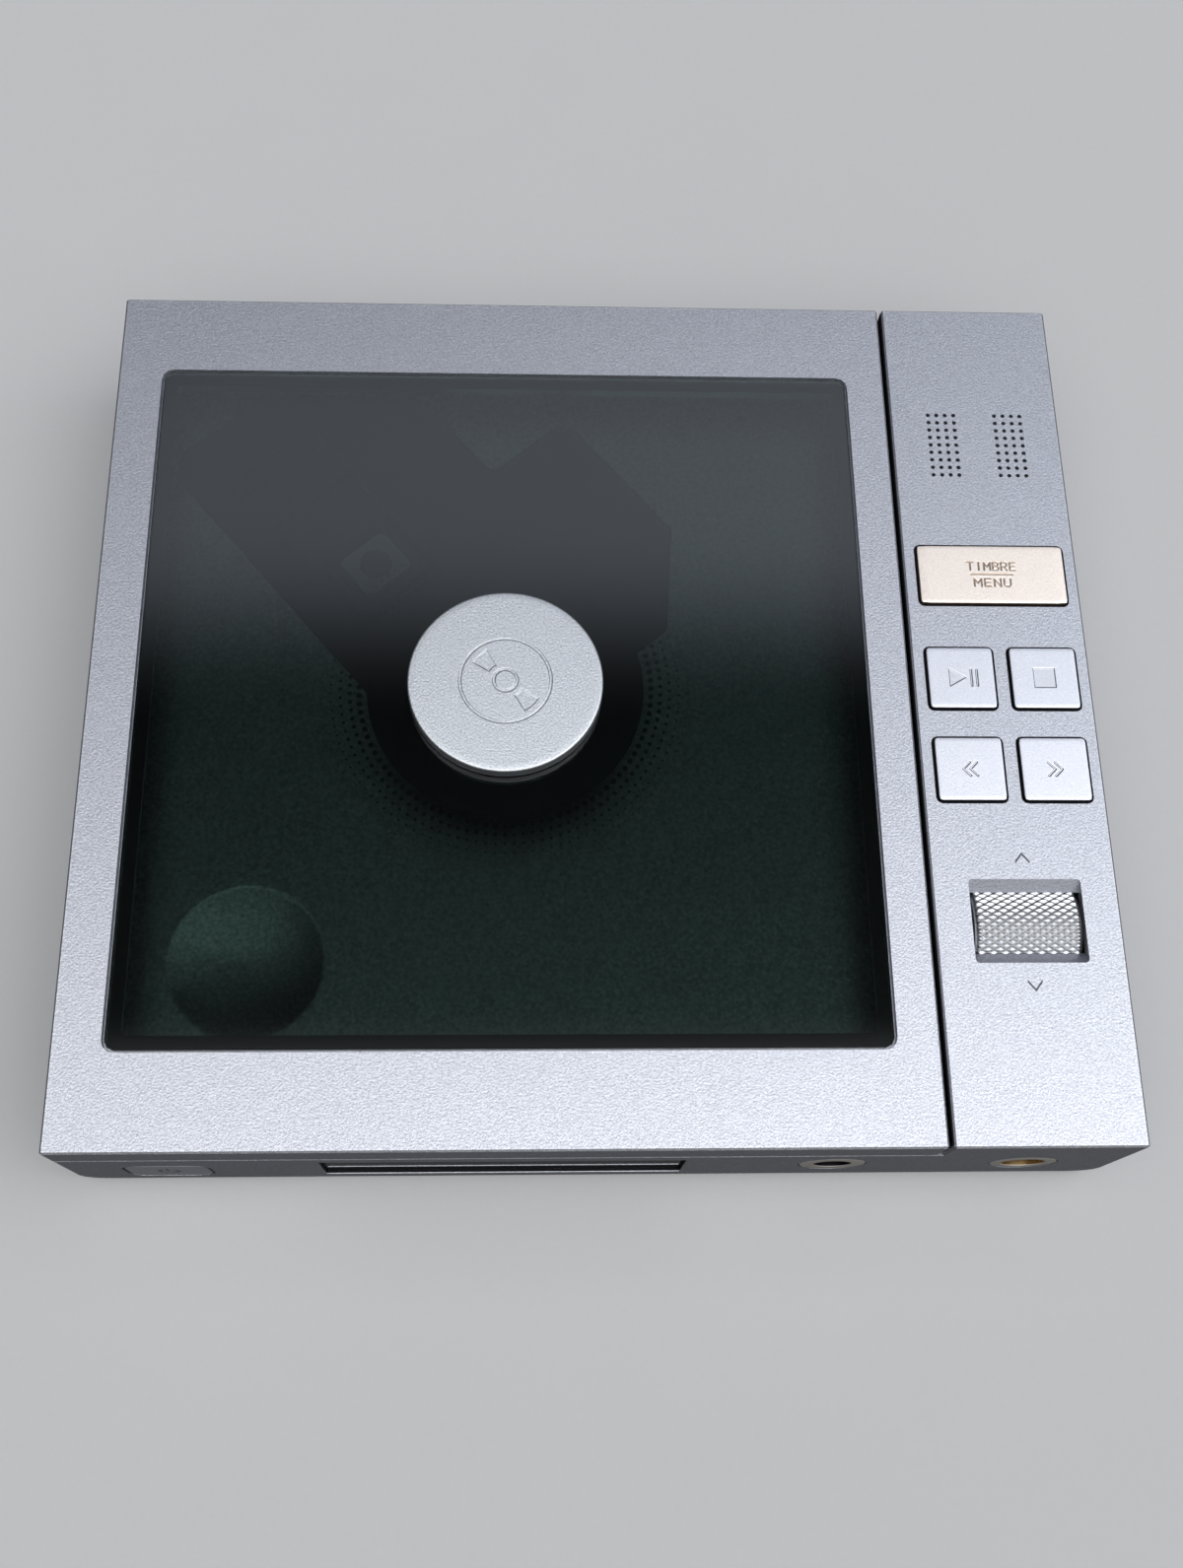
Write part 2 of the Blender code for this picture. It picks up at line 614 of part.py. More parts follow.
def prism_along_y(name, outline, front, rear, helper=False):
    """Outline in the XZ plane, carried along Y."""
    solid = slab(name, [outline], front, rear, helper)
    solid.location = (0, 0, 0)
    turn = Matrix(((1, 0, 0, 0), (0, 0, -1, (front + rear) / 2), (0, 1, 0, 0), (0, 0, 0, 1)))
    solid.data.transform(turn)
    return solid


def block(name, size, centre, helper=False):
    """Box of a size round a centre."""
    work = bmesh.new()
    bmesh.ops.create_cube(work, size=1, matrix=Matrix.Diagonal((*size, 1)))
    mesh = bpy.data.meshes.new(name)
    work.to_mesh(mesh)
    work.free()
    solid = add(name, mesh, helper)
    solid.location = centre
    return solid


def box(name, low, high, helper=False):
    """Box between two corners."""
    low = Vector(low)
    high = Vector(high)
    return block(name, high - low, (low + high) / 2, helper)


def turned(name, profile, steps=ROUND_TURN, ring=False, helper=False):
    """Profile of (radius, height) points turned about Z; a ring's profile closes on itself."""
    count = len(profile)
    edges = [(index, (index + 1) % count) for index in range(count if ring else count - 1)]
    mesh = bpy.data.meshes.new(name)
    mesh.from_pydata([(radius, 0, height) for radius, height in profile], edges, [])
    solid = add(name, mesh, helper)
    screw = solid.modifiers.new("turn", "SCREW")
    screw.axis = "Z"
    screw.angle = 2 * math.pi
    screw.steps = steps
    screw.render_steps = steps
    screw.use_merge_vertices = True
    screw.merge_threshold = WELD
    return solid


def rod(name, radius, bottom, top, steps=SMALL_TURN, helper=False):
    """Plain round bar along Z."""
    return turned(name, [(0, top), (radius, top), (radius, bottom), (0, bottom)], steps, helper=helper)


def lay_along_x(solid):
    """Turns a piece that was made along Z so that its height runs along X."""
    solid.rotation_euler = (0, math.pi / 2, 0)


def combine(target, tool, operation):
    """Boolean of a target with a helper, which then follows the target's parent."""
    boolean = target.modifiers.new(operation.lower(), "BOOLEAN")
    boolean.operation = operation
    boolean.solver = "EXACT"
    boolean.object = tool


def cut(target, *tools):
    """Takes each tool's shape out of the target."""
    for tool in tools:
        combine(target, tool, "DIFFERENCE")


def fuse(target, *tools):
    """Joins each tool's shape to the target."""
    for tool in tools:
        combine(target, tool, "UNION")


def chamfer(solid, width, angle=BEVEL_ANGLE):
    """Breaks the sharp edges of a piece."""
    bevel = solid.modifiers.new("chamfer", "BEVEL")
    bevel.width = width
    bevel.segments = 1
    bevel.limit_method = "ANGLE"
    bevel.angle_limit = angle
    bevel.harden_normals = False


def joined(name, solids, helper=False):
    """One object that holds several separate solids."""
    bpy.context.view_layer.update()
    graph = bpy.context.evaluated_depsgraph_get()
    work = bmesh.new()
    for solid in solids:
        mesh = bpy.data.meshes.new_from_object(solid.evaluated_get(graph))
        mesh.transform(solid.matrix_world)
        work.from_mesh(mesh)
        bpy.data.meshes.remove(mesh)
        bpy.data.objects.remove(solid, do_unlink=True)
    mesh = bpy.data.meshes.new(name)
    work.to_mesh(mesh)
    work.free()
    return add(name, mesh, helper)


def hang(children, parent):
    """Parents pieces to an empty on their joint's axis, leaving them where they are."""
    bpy.context.view_layer.update()
    for child in children:
        child.parent = parent
        child.matrix_parent_inverse = parent.matrix_world.inverted()


def empty(name, place, turn=0):
    """Empty that marks an axis."""
    mark = bpy.data.objects.new(name, None)
    PARTS.objects.link(mark)
    mark.location = place
    mark.rotation_euler.z = turn
    mark.empty_display_size = HUB_RADIUS
    bpy.context.view_layer.update()
    return mark


# Finishes


def finish(name, colour, roughness, metallic, solids):
    """One material for each piece, all of one finish."""
    for solid in solids:
        material = bpy.data.materials.new(f"{name}_{solid.name}")
        material.use_nodes = True
        shader = material.node_tree.nodes["Principled BSDF"]
        shader.inputs["Base Color"].default_value = (*colour, 1)
        shader.inputs["Roughness"].default_value = roughness
        shader.inputs["Metallic"].default_value = metallic
        solid.data.materials.clear()
        solid.data.materials.append(material)


def smooth(solid):
    """Shades a round piece smooth between its sharp edges."""
    solid.data.shade_smooth()
    solid.data.set_sharp_from_angle(angle=SMOOTH_ANGLE)


# Housing


def post_places():
    """Screw posts: two between the front openings, one at the front right, three along the rear."""
    key_right = POWER_KEY_FROM_LEFT + POWER_KEY_WIDTH / 2
    display_left = SPINDLE[0] - DISPLAY_WIDTH / 2
    display_right = SPINDLE[0] + DISPLAY_WIDTH / 2
    socket_left = SMALL_SOCKET_X - SOCKET_RING_RADIUS
    front = [(key_right + display_left) / 2, (display_right + socket_left) / 2, BODY_WIDTH - POST_FROM_SIDE]
    rear = [POST_FROM_SIDE, BODY_WIDTH / 2, BODY_WIDTH - POST_FROM_SIDE]
    near = [(x, SCREW_FROM_END) for x in front]
    far = [(x, BODY_DEPTH - SCREW_FROM_END) for x in rear]
    return near, far


def post_boxes(low, high):
    """Solid posts at the screws, from the end walls inwards."""
    near, far = post_places()
    boxes = []
    for x, _ in near:
        start = at(x - POST_HALF_WIDTH, -OVERRUN, low)
        boxes.append(box("post", start, at(x + POST_HALF_WIDTH, END_WALL + POST_DEPTH, high), True))
    for x, _ in far:
        start = at(x - POST_HALF_WIDTH, BODY_DEPTH - END_WALL - POST_DEPTH, low)
        boxes.append(box("post", start, at(x + POST_HALF_WIDTH, BODY_DEPTH + OVERRUN, high), True))
    return boxes


def body_outer():
    """Front outline of the body, round at its lower long edges, carried from front to back."""
    left = -BODY_WIDTH / 2
    right = BODY_WIDTH / 2
    step = left + COLUMN_LEFT
    outline = rounded([
        (left, FOOT_PROUD, LOWER_EDGE_RADIUS),
        (right, FOOT_PROUD, LOWER_EDGE_RADIUS),
        (right, TOP, 0),
        (step, TOP, 0),
        (step, RIM_TOP, 0),
        (left, RIM_TOP, 0),
    ])
    body = prism_along_y("housing", outline, -BODY_DEPTH / 2, BODY_DEPTH / 2)
    chamfer(body, EDGE_CHAMFER)
    return body


def body_hollow():
    """Room inside the body, less the screw posts."""
    low = at(SIDE_WALL, END_WALL, SILL_TOP)
    room = box("room", low, at(BODY_WIDTH - SIDE_WALL, BODY_DEPTH - END_WALL, RIM_UNDERSIDE), True)
    column_low = at(COLUMN_LEFT + COLUMN_WALL, END_WALL, RIM_UNDERSIDE - OVERRUN)
    column_high = at(BODY_WIDTH - SIDE_WALL, BODY_DEPTH - END_WALL, ROOF_UNDERSIDE)
    fuse(room, box("column_room", column_low, column_high, True))
    floor = bounds(
        -BODY_WIDTH / 2 + COVER_INSET_SIDE,
        -BODY_DEPTH / 2 + COVER_INSET_END,
        BODY_WIDTH / 2 - COVER_INSET_SIDE,
        BODY_DEPTH / 2 - COVER_INSET_END,
        COVER_CORNER_RADIUS,
    )
    fuse(room, slab("cover_opening", [floor], FOOT_PROUD - OVERRUN, SILL_TOP + OVERRUN, True))
    cut(room, *post_boxes(COVER_TOP + CLEARANCE, TOP))
    return room


def well_opening():
    """Square opening over the deck."""
    centre = at(*SPINDLE, 0)
    outline = rectangle(WELL, WELL, WELL_CORNER_RADIUS, centre[:2])
    return slab("well", [outline], RIM_UNDERSIDE - OVERRUN, RIM_TOP + OVERRUN, True)


def key_places():
    """Keys on the column: name, centre and size."""
    return [
        ("previous_key", KEY_LEFT_X, LOWER_KEYS_Y, KEY_WIDTH),
        ("next_key", KEY_RIGHT_X, LOWER_KEYS_Y, KEY_WIDTH),
        ("play_key", KEY_LEFT_X, UPPER_KEYS_Y, KEY_WIDTH),
        ("stop_key", KEY_RIGHT_X, UPPER_KEYS_Y, KEY_WIDTH),
        ("menu_key", COLUMN_CENTRE, MENU_Y, MENU_WIDTH),
    ]


def key_openings():
    """Openings of the column keys, a clearance wider all round."""
    tools = []
    for name, x, y, width in key_places():
        outline = rectangle(
            width + 2 * CLEARANCE, KEY_LENGTH + 2 * CLEARANCE, KEY_CORNER_RADIUS + CLEARANCE, at(x, y, 0)[:2]
        )
        tools.append(slab(f"{name}_opening", [outline], ROOF_UNDERSIDE - OVERRUN, TOP + OVERRUN, True))
    return tools


def wheel_opening():
    """Opening of the volume wheel: two ramps down to the wheel, and room for its rim below."""
    half = WHEEL_OPENING / 2
    foot = half - WHEEL_RAMP_LENGTH
    centre = at(COLUMN_CENTRE, WHEEL_FROM_FRONT, 0)
    side = [
        (centre.y - half, TOP + OVERRUN),
        (centre.y - half, TOP),
        (centre.y - foot, TOP - WHEEL_RAMP_DROP),
        (centre.y + foot, TOP - WHEEL_RAMP_DROP),
        (centre.y + half, TOP),
        (centre.y + half, TOP + OVERRUN),
    ]
    width = WHEEL_WIDTH + 2 * WHEEL_SIDE_GAP
    left = centre.x - width / 2
    ramps = prism_along_x("wheel_ramps", side, left, left + width, True)
    mouth = rectangle(width, WHEEL_OPENING, WHEEL_OPENING_RADIUS, centre[:2])
    combine(ramps, slab("wheel_mouth", [mouth], ROOF_UNDERSIDE, TOP + OVERRUN, True), "INTERSECT")
    pocket = rod("wheel_pocket", WHEEL_RADIUS + WHEEL_ROUND_GAP, -width / 2, width / 2, FINE_TURN, True)
    pocket.location = at(COLUMN_CENTRE, WHEEL_FROM_FRONT, WHEEL_Z)
    lay_along_x(pocket)
    return [ramps, pocket]


def grille_holes():
    """Two blocks of small round holes."""
    centre = at(COLUMN_CENTRE, GRILLE_Y, 0)
    first = -GRILLE_BLOCK_GAP / 2 - GRILLE_BLOCK_WIDTH
    pins = []
    for start in (first, GRILLE_BLOCK_GAP / 2):
        for column in range(GRILLE_COLUMNS):
            for row in range(GRILLE_ROWS):
                pin = rod("hole", GRILLE_HOLE_RADIUS, ROOF_UNDERSIDE - OVERRUN, TOP + OVERRUN, HOLE_TURN, True)
                pin.location.x = centre.x + start + column * GRILLE_PITCH
                pin.location.y = centre.y - GRILLE_HEIGHT / 2 + row * GRILLE_PITCH
                pins.append(pin)
    return joined("grille_holes", pins, True)


def front_openings():
    """Openings of the display, the power key and the two sockets in the front wall."""
    front = -BODY_DEPTH / 2
    display = at(SPINDLE[0], 0, DISPLAY_Z)
    lip = rectangle(DISPLAY_WIDTH, DISPLAY_HEIGHT, DISPLAY_CORNER_RADIUS, (display.x, display.z))
    rebate = rectangle(
        DISPLAY_WIDTH + 2 * DISPLAY_REBATE, DISPLAY_HEIGHT + 2 * DISPLAY_REBATE, DISPLAY_REBATE, (display.x, display.z)
    )
    key = at(POWER_KEY_FROM_LEFT, 0, POWER_KEY_Z)
    key_hole = rectangle(
        POWER_KEY_WIDTH + 2 * CLEARANCE,
        POWER_KEY_HEIGHT + 2 * CLEARANCE,
        POWER_KEY_RADIUS + CLEARANCE,
        (key.x, key.z),
    )
    inner = front + END_WALL + OVERRUN
    tools = [
        prism_along_y("display_lip", lip, front - OVERRUN, inner, True),
        prism_along_y("display_rebate", rebate, front + DISPLAY_LIP, inner, True),
        prism_along_y("power_key_hole", key_hole, front - OVERRUN, inner, True),
    ]
    for x in (SMALL_SOCKET_X, LARGE_SOCKET_X):
        place = at(x, 0, SOCKET_Z)
        outline = circle(SOCKET_RING_RADIUS + CLEARANCE, ROUND_TURN, (place.x, place.z))
        tools.append(prism_along_y("socket_hole", outline, front - OVERRUN, inner, True))
    return tools


def rear_openings():
    """Openings of the charging port and the line-out socket in the rear wall."""
    rear = BODY_DEPTH / 2
    port = at(PORT_X, 0, ON_BOARD + PORT_HEIGHT / 2)
    port_height = PORT_HEIGHT + 2 * CLEARANCE
    port_hole = rectangle(PORT_WIDTH + 2 * CLEARANCE, port_height, port_height / 2 - WELD, (port.x, port.z))
    line = at(LINE_OUT_X, 0, ON_BOARD + LINE_OUT_HALF_WIDTH)
    line_hole = circle(LINE_OUT_NOSE_RADIUS + CLEARANCE, ROUND_TURN, (line.x, line.z))
    inner = rear - END_WALL - OVERRUN
    return [
        prism_along_y("port_hole", port_hole, inner, rear + OVERRUN, True),
        prism_along_y("line_out_hole", line_hole, inner, rear + OVERRUN, True),
    ]


def hinge_places():
    """Middle of each hinge block, from the body's left side."""
    return [("left", HINGE_FROM_EDGE), ("right", LID_WIDTH - HINGE_FROM_EDGE)]


def hinge_notches():
    """Notches of the hinge blocks in the rear wall and rim."""
    half = HINGE_BLOCK_WIDTH / 2 + CLEARANCE
    front = HINGE_Y - HINGE_BARREL_RADIUS - CLEARANCE
    tools = []
    for _, x in hinge_places():
        low = at(x - half, front, RIM_UNDERSIDE - HINGE_BLOCK_DROP - CLEARANCE)
        tools.append(box("hinge_notch", low, at(x + half, BODY_DEPTH + OVERRUN, RIM_TOP + OVERRUN), True))
    return tools


def screw_holes():
    """Blind holes of the cover screws in the posts."""
    near, far = post_places()
    tools = []
    for x, y in near + far:
        hole = rod("screw_hole", SCREW_RADIUS + CLEARANCE, 0, SCREW_LENGTH + OVERRUN, HOLE_TURN, True)
        hole.location = at(x, y, COVER_TOP)
        tools.append(hole)
    return tools


def key_post_places():
    """Posts under the column's roof that carry the key board."""
    between_rows = (LOWER_KEYS_Y + UPPER_KEYS_Y) / 2
    above_rows = (UPPER_KEYS_Y + MENU_Y) / 2
    return [(COLUMN_CENTRE, between_rows), (COLUMN_CENTRE, above_rows)]


def key_posts():
    """Posts under the column's roof."""
    posts = []
    for x, y in key_post_places():
        post = rod("key_post", KEY_POST_RADIUS, KEY_BOARD_TOP + CLEARANCE, ROOF_UNDERSIDE + CLEARANCE, SMALL_TURN, True)
        post.location = at(x, y, 0)
        posts.append(post)
    return posts


def make_housing():
    """Body in one piece: walls, rim, column, openings and posts."""
    body = body_outer()
    cut(body, body_hollow(), well_opening())
    cut(body, *key_openings())
    cut(body, *wheel_opening())
    cut(body, grille_holes())
    cut(body, *front_openings())
    cut(body, *rear_openings())
    cut(body, *hinge_notches())
    cut(body, *screw_holes())
    fuse(body, *key_posts())
    return body


# Bottom cover, feet and cover screws


def standoff_places():
    """Standoffs of the main board on the bottom cover."""
    left, front, right, rear, corner = board_edges()
    inset = 2 * STANDOFF_RADIUS
    return [
        (left + inset, front + inset),
        (right - inset, front + inset),
        (right - inset, rear - inset),
        (corner + inset, rear - inset),
        (left + inset, front + BOARD_FRONT_DEPTH - inset),
    ]


def foot_places():
    """Centres of the four feet."""
    xs = (FOOT_INSET, BODY_WIDTH - FOOT_INSET)
    ys = (FOOT_INSET, BODY_DEPTH - FOOT_INSET)
    return [(x, y) for x in xs for y in ys]


def make_bottom_cover():
    """Flush bottom plate with foot seats, screw holes and the board's standoffs."""
    outline = bounds(
        -BODY_WIDTH / 2 + COVER_INSET_SIDE + CLEARANCE,
        -BODY_DEPTH / 2 + COVER_INSET_END + CLEARANCE,
        BODY_WIDTH / 2 - COVER_INSET_SIDE - CLEARANCE,
        BODY_DEPTH / 2 - COVER_INSET_END - CLEARANCE,
        COVER_CORNER_RADIUS - CLEARANCE,
    )
    cover = slab("bottom_cover", [outline], FOOT_PROUD, COVER_TOP)
    for x, y in foot_places():
        seat = rod("foot_seat", FOOT_RADIUS + CLEARANCE, 0, FOOT_PROUD + FOOT_SEAT, ROUND_TURN, True)
        seat.location = at(x, y, 0)
        cut(cover, seat)
    near, far = post_places()
    for x, y in near + far:
        sink = turned("screw_sink", [
            (0, COVER_TOP + OVERRUN),
            (SCREW_RADIUS + CLEARANCE, COVER_TOP + OVERRUN),
            (SCREW_RADIUS + CLEARANCE, FOOT_PROUD + SCREW_HEAD_HEIGHT),
            (SCREW_HEAD_RADIUS + CLEARANCE, FOOT_PROUD + RUNNING_GAP),
            (SCREW_HEAD_RADIUS + CLEARANCE, 0),
            (0, 0),
        ], SMALL_TURN, helper=True)
        sink.location = at(x, y, 0)
        cut(cover, sink)
    for x, y in standoff_places():
        post = rod("standoff", STANDOFF_RADIUS, COVER_TOP - CLEARANCE, COVER_TOP + STANDOFF_HEIGHT, SMALL_TURN, True)
        post.location = at(x, y, 0)
        fuse(cover, post)
    return cover


def make_feet():
    """Four round rubber feet."""
    feet = []
    top = FOOT_PROUD + FOOT_SEAT - CLEARANCE
    for name, place in zip(FOOT_NAMES, foot_places()):
        foot = turned(name, [
            (0, top),
            (FOOT_RADIUS, top),
            (FOOT_RADIUS, EDGE_CHAMFER),
            (FOOT_RADIUS - EDGE_CHAMFER, 0),
            (0, 0),
        ], ROUND_TURN)
        foot.location = at(*place, 0)
        feet.append(foot)
    return feet


# Deck and mechanism cover


def arc(radius, first, last):
    """Corners along an arc about the origin, from one angle to another."""
    steps = FINE_TURN // 2
    angles = [first + (last - first) * step / steps for step in range(steps + 1)]
    return [(radius * math.cos(angle), radius * math.sin(angle), 0) for angle in angles]


def plate_outline(grow):
    """Outline of the mechanism plate, grown by a distance, along and across the sled's line."""
    along = math.sin(SLED_ANGLE)
    across = math.cos(SLED_ANGLE)
    rear = WELL / 2 - PLATE_REAR_MARGIN
    corners = offset_corners([
        (PLATE_END, (rear - PLATE_END * along) / across, 0),
        (PLATE_END, PLATE_LEFT - PLATE_CORNER_CUT, PLATE_CORNER_RADIUS),
        (PLATE_END - PLATE_CORNER_CUT, PLATE_LEFT, PLATE_CORNER_RADIUS),
        (0, PLATE_LEFT, 0),
        (-PLATE_HEEL, 0, 0),
        (-PLATE_HEEL, -PLATE_HEEL_CORNER, PLATE_CORNER_RADIUS),
        (PLATE_LOBE_START, -PLATE_LOBE, PLATE_CORNER_RADIUS),
        (PLATE_SHOULDER, -PLATE_LOBE, 2 * PLATE_CORNER_RADIUS),
        (PLATE_SHOULDER, -PLATE_RIGHT, PLATE_CORNER_RADIUS),
        ((rear + PLATE_RIGHT * across) / along, -PLATE_RIGHT, 0),
    ], grow)
    radius = HUB_ROUND_RADIUS + grow
    first = math.asin((PLATE_LEFT + grow) / radius)
    last = 2 * math.pi - math.acos(-(PLATE_HEEL + grow) / radius)
    return rounded(corners[:3] + arc(radius, first, last) + corners[5:])


def keyhole_outline():
    """Opening of the mechanism plate: a circle round the hub that runs on as the lens slot."""
    half = math.asin(LENS_SLOT_HALF / HUB_OPENING_RADIUS)
    end = ROD_END - SLED_OUTER + TOWER_HALF_ALONG + RUNNING_GAP
    slot_end = [(end, -LENS_SLOT_HALF, PLATE_CORNER_RADIUS), (end, LENS_SLOT_HALF, PLATE_CORNER_RADIUS)]
    return rounded(arc(HUB_OPENING_RADIUS, half, 2 * math.pi - half) + slot_end)


def make_deck(mechanism):
    """Deck plate under the disc: finger dimple, opening of the mechanism plate, screw holes."""
    centre = at(*SPINDLE, 0)
    outline = rectangle(WELL + 2 * DECK_LAP, WELL + 2 * DECK_LAP, WELL_CORNER_RADIUS, centre[:2])
    deck = slab("deck_plate", [outline], DECK_UNDERSIDE, DECK_TOP)
    ball = (DIMPLE_RADIUS**2 + DIMPLE_DEPTH**2) / (2 * DIMPLE_DEPTH)
    reach = DISC_DIAMETER / 2
    place = Vector((reach * math.cos(DIMPLE_ANGLE), reach * math.sin(DIMPLE_ANGLE), 0))
    cup = dimple_turned("dimple_cup", ball, ball + DIMPLE_WALL, DECK_TOP - WELD)
    bowl = dimple_turned("dimple_bowl", ball, ball, DECK_TOP + OVERRUN)
    for tool in (cup, bowl):
        tool.location = centre + place
    fuse(deck, cup)
    cut(deck, bowl)
    opening = slab("plate_opening", [plate_outline(0)], DECK_UNDERSIDE - OVERRUN, DECK_TOP + OVERRUN, True)
    opening.parent = mechanism
    cut(deck, opening)
    return deck


def dimple_turned(name, ball, radius, top):
    """Cap of a ball of the given radius below a height, round the dimple's own ball."""
    level = DECK_TOP - DIMPLE_DEPTH + ball
    widest = math.acos((level - top) / radius)
    profile = [(0, top)]
    for step in range(ARC_STEPS + 1):
        angle = widest * (1 - step / ARC_STEPS)
        profile.append((radius * math.sin(angle), level - radius * math.cos(angle)))
    return turned(name, profile, ROUND_TURN, helper=True)


def make_mechanism_cover(mechanism):
    """Black plate that shows in the deck, with a flange under it and the keyhole for hub and lens."""
    plate = slab("mechanism_cover", [plate_outline(-CLEARANCE)], FLANGE_TOP - CLEARANCE, PLATE_TOP)
    flange = slab("plate_flange", [plate_outline(PLATE_FLANGE)], FLANGE_UNDERSIDE, FLANGE_TOP, True)
    keyhole = slab("keyhole", [keyhole_outline()], FLANGE_UNDERSIDE - OVERRUN, PLATE_TOP + OVERRUN, True)
    fuse(plate, flange)
    cut(plate, keyhole)
    for thing in (plate, flange, keyhole):
        thing.parent = mechanism
    return plate


# Mechanism: chassis, dampers, rods


def chassis_outline(inset):
    """Outline of the chassis, drawn in by an inset."""
    return bounds(
        -CHASSIS_HEEL + inset,
        -CHASSIS_RIGHT + inset,
        CHASSIS_END - inset,
        CHASSIS_LEFT - inset,
        CHASSIS_CORNER_RADIUS - inset / 2,
    )


def make_chassis(mechanism):
    """Chassis: floor with the sled's opening, rim wall, and posts with seats for the rods."""
    hole = bounds(
        CHASSIS_BRIDGE,
        -CHASSIS_RIGHT + 2 * CHASSIS_WALL,
        CHASSIS_END - CHASSIS_FAR_FLOOR,
        CHASSIS_LEFT - 2 * CHASSIS_WALL,
        CHASSIS_CORNER_RADIUS,
    )
    chassis = slab("mechanism_chassis", [chassis_outline(0), hole], CHASSIS_UNDERSIDE, CHASSIS_FLOOR_TOP)
    wall = slab(
        "chassis_wall",
        [chassis_outline(0), chassis_outline(CHASSIS_WALL)],
        CHASSIS_FLOOR_TOP - CHASSIS_FLOOR / 2,
        SLED_TOP,
        True,
    )
    tools = [wall]
    for side in (ROD_LEFT, -ROD_RIGHT):
        low = (ROD_POST_START, side - ROD_POST_HALF, CHASSIS_FLOOR_TOP - CHASSIS_FLOOR / 2)
        high = (ROD_POST_START + ROD_POST_LENGTH, side + ROD_POST_HALF, ROD_LEVEL + ROD_POST_HALF)
        tools.append(box("rod_post", low, high, True))
    seats = []
    for side, radius in ((ROD_LEFT, ROD_RADIUS), (-ROD_RIGHT, ROD_RADIUS), (-SCREW_SIDE, FEED_SCREW_RADIUS)):
        seat = rod("rod_seat", radius + RUNNING_GAP, ROD_POST_START + ROD_SEAT, ROD_END + ROD_SEAT, SMALL_TURN, True)
        seat.location = (0, side, ROD_LEVEL)
        lay_along_x(seat)
        seats.append(seat)
    fuse(chassis, *tools)
    cut(chassis, *seats)
    for thing in [chassis, *tools, *seats]:
        thing.parent = mechanism
    return chassis


def make_dampers(mechanism):
    """Rubber dampers between the chassis and the bottom cover."""
    far = CHASSIS_END - DAMPER_INSET
    places = [
        (-CHASSIS_HEEL + DAMPER_INSET, (CHASSIS_LEFT - CHASSIS_RIGHT) / 2),
        (far, CHASSIS_LEFT - DAMPER_INSET),
        (far, -CHASSIS_RIGHT + DAMPER_INSET),
    ]
    bottom = COVER_TOP + CLEARANCE
    dampers = []
    for name, (x, y) in zip(DAMPER_NAMES, places):
        damper = rod(name, DAMPER_RADIUS, bottom, bottom + DAMPER_HEIGHT)
        damper.parent = mechanism
        damper.location = (x, y, 0)
        dampers.append(damper)
    return dampers


def make_guide_rod(name, side, mechanism):
    """Steel rod that the sled slides on."""
    start = ROD_POST_START + ROD_SEAT + CLEARANCE
    bar = rod(name, ROD_RADIUS, start, ROD_END + ROD_SEAT - CLEARANCE)
    bar.location = (0, side, ROD_LEVEL)
    lay_along_x(bar)
    bar.parent = mechanism
    return bar


# Mechanism: spindle


def make_spindle_motor():
    """Flat motor can with a boss round the shaft."""
    foot = SPINDLE_MOTOR_FOOT
    top = foot + SPINDLE_MOTOR_HEIGHT
    bore = SHAFT_RADIUS + CLEARANCE
    can = turned("spindle_motor", [
        (bore, top + SPINDLE_MOTOR_BOSS_HEIGHT),
        (SPINDLE_MOTOR_BOSS_RADIUS, top + SPINDLE_MOTOR_BOSS_HEIGHT),
        (SPINDLE_MOTOR_BOSS_RADIUS, top),
        (SPINDLE_MOTOR_RADIUS - EDGE_CHAMFER, top),
        (SPINDLE_MOTOR_RADIUS, top - EDGE_CHAMFER),
        (SPINDLE_MOTOR_RADIUS, foot),
        (bore, foot),
    ], ring=True)
    can.location = at(*SPINDLE, 0)
    return can


def make_spindle_shaft():
    """Shaft from the motor up into the hub."""
    bottom = SPINDLE_MOTOR_FOOT + CLEARANCE
    shaft = rod("spindle_shaft", SHAFT_RADIUS, bottom, HUB_TABLE_TOP - RUNNING_GAP)
    shaft.location = at(*SPINDLE, 0)
    return shaft


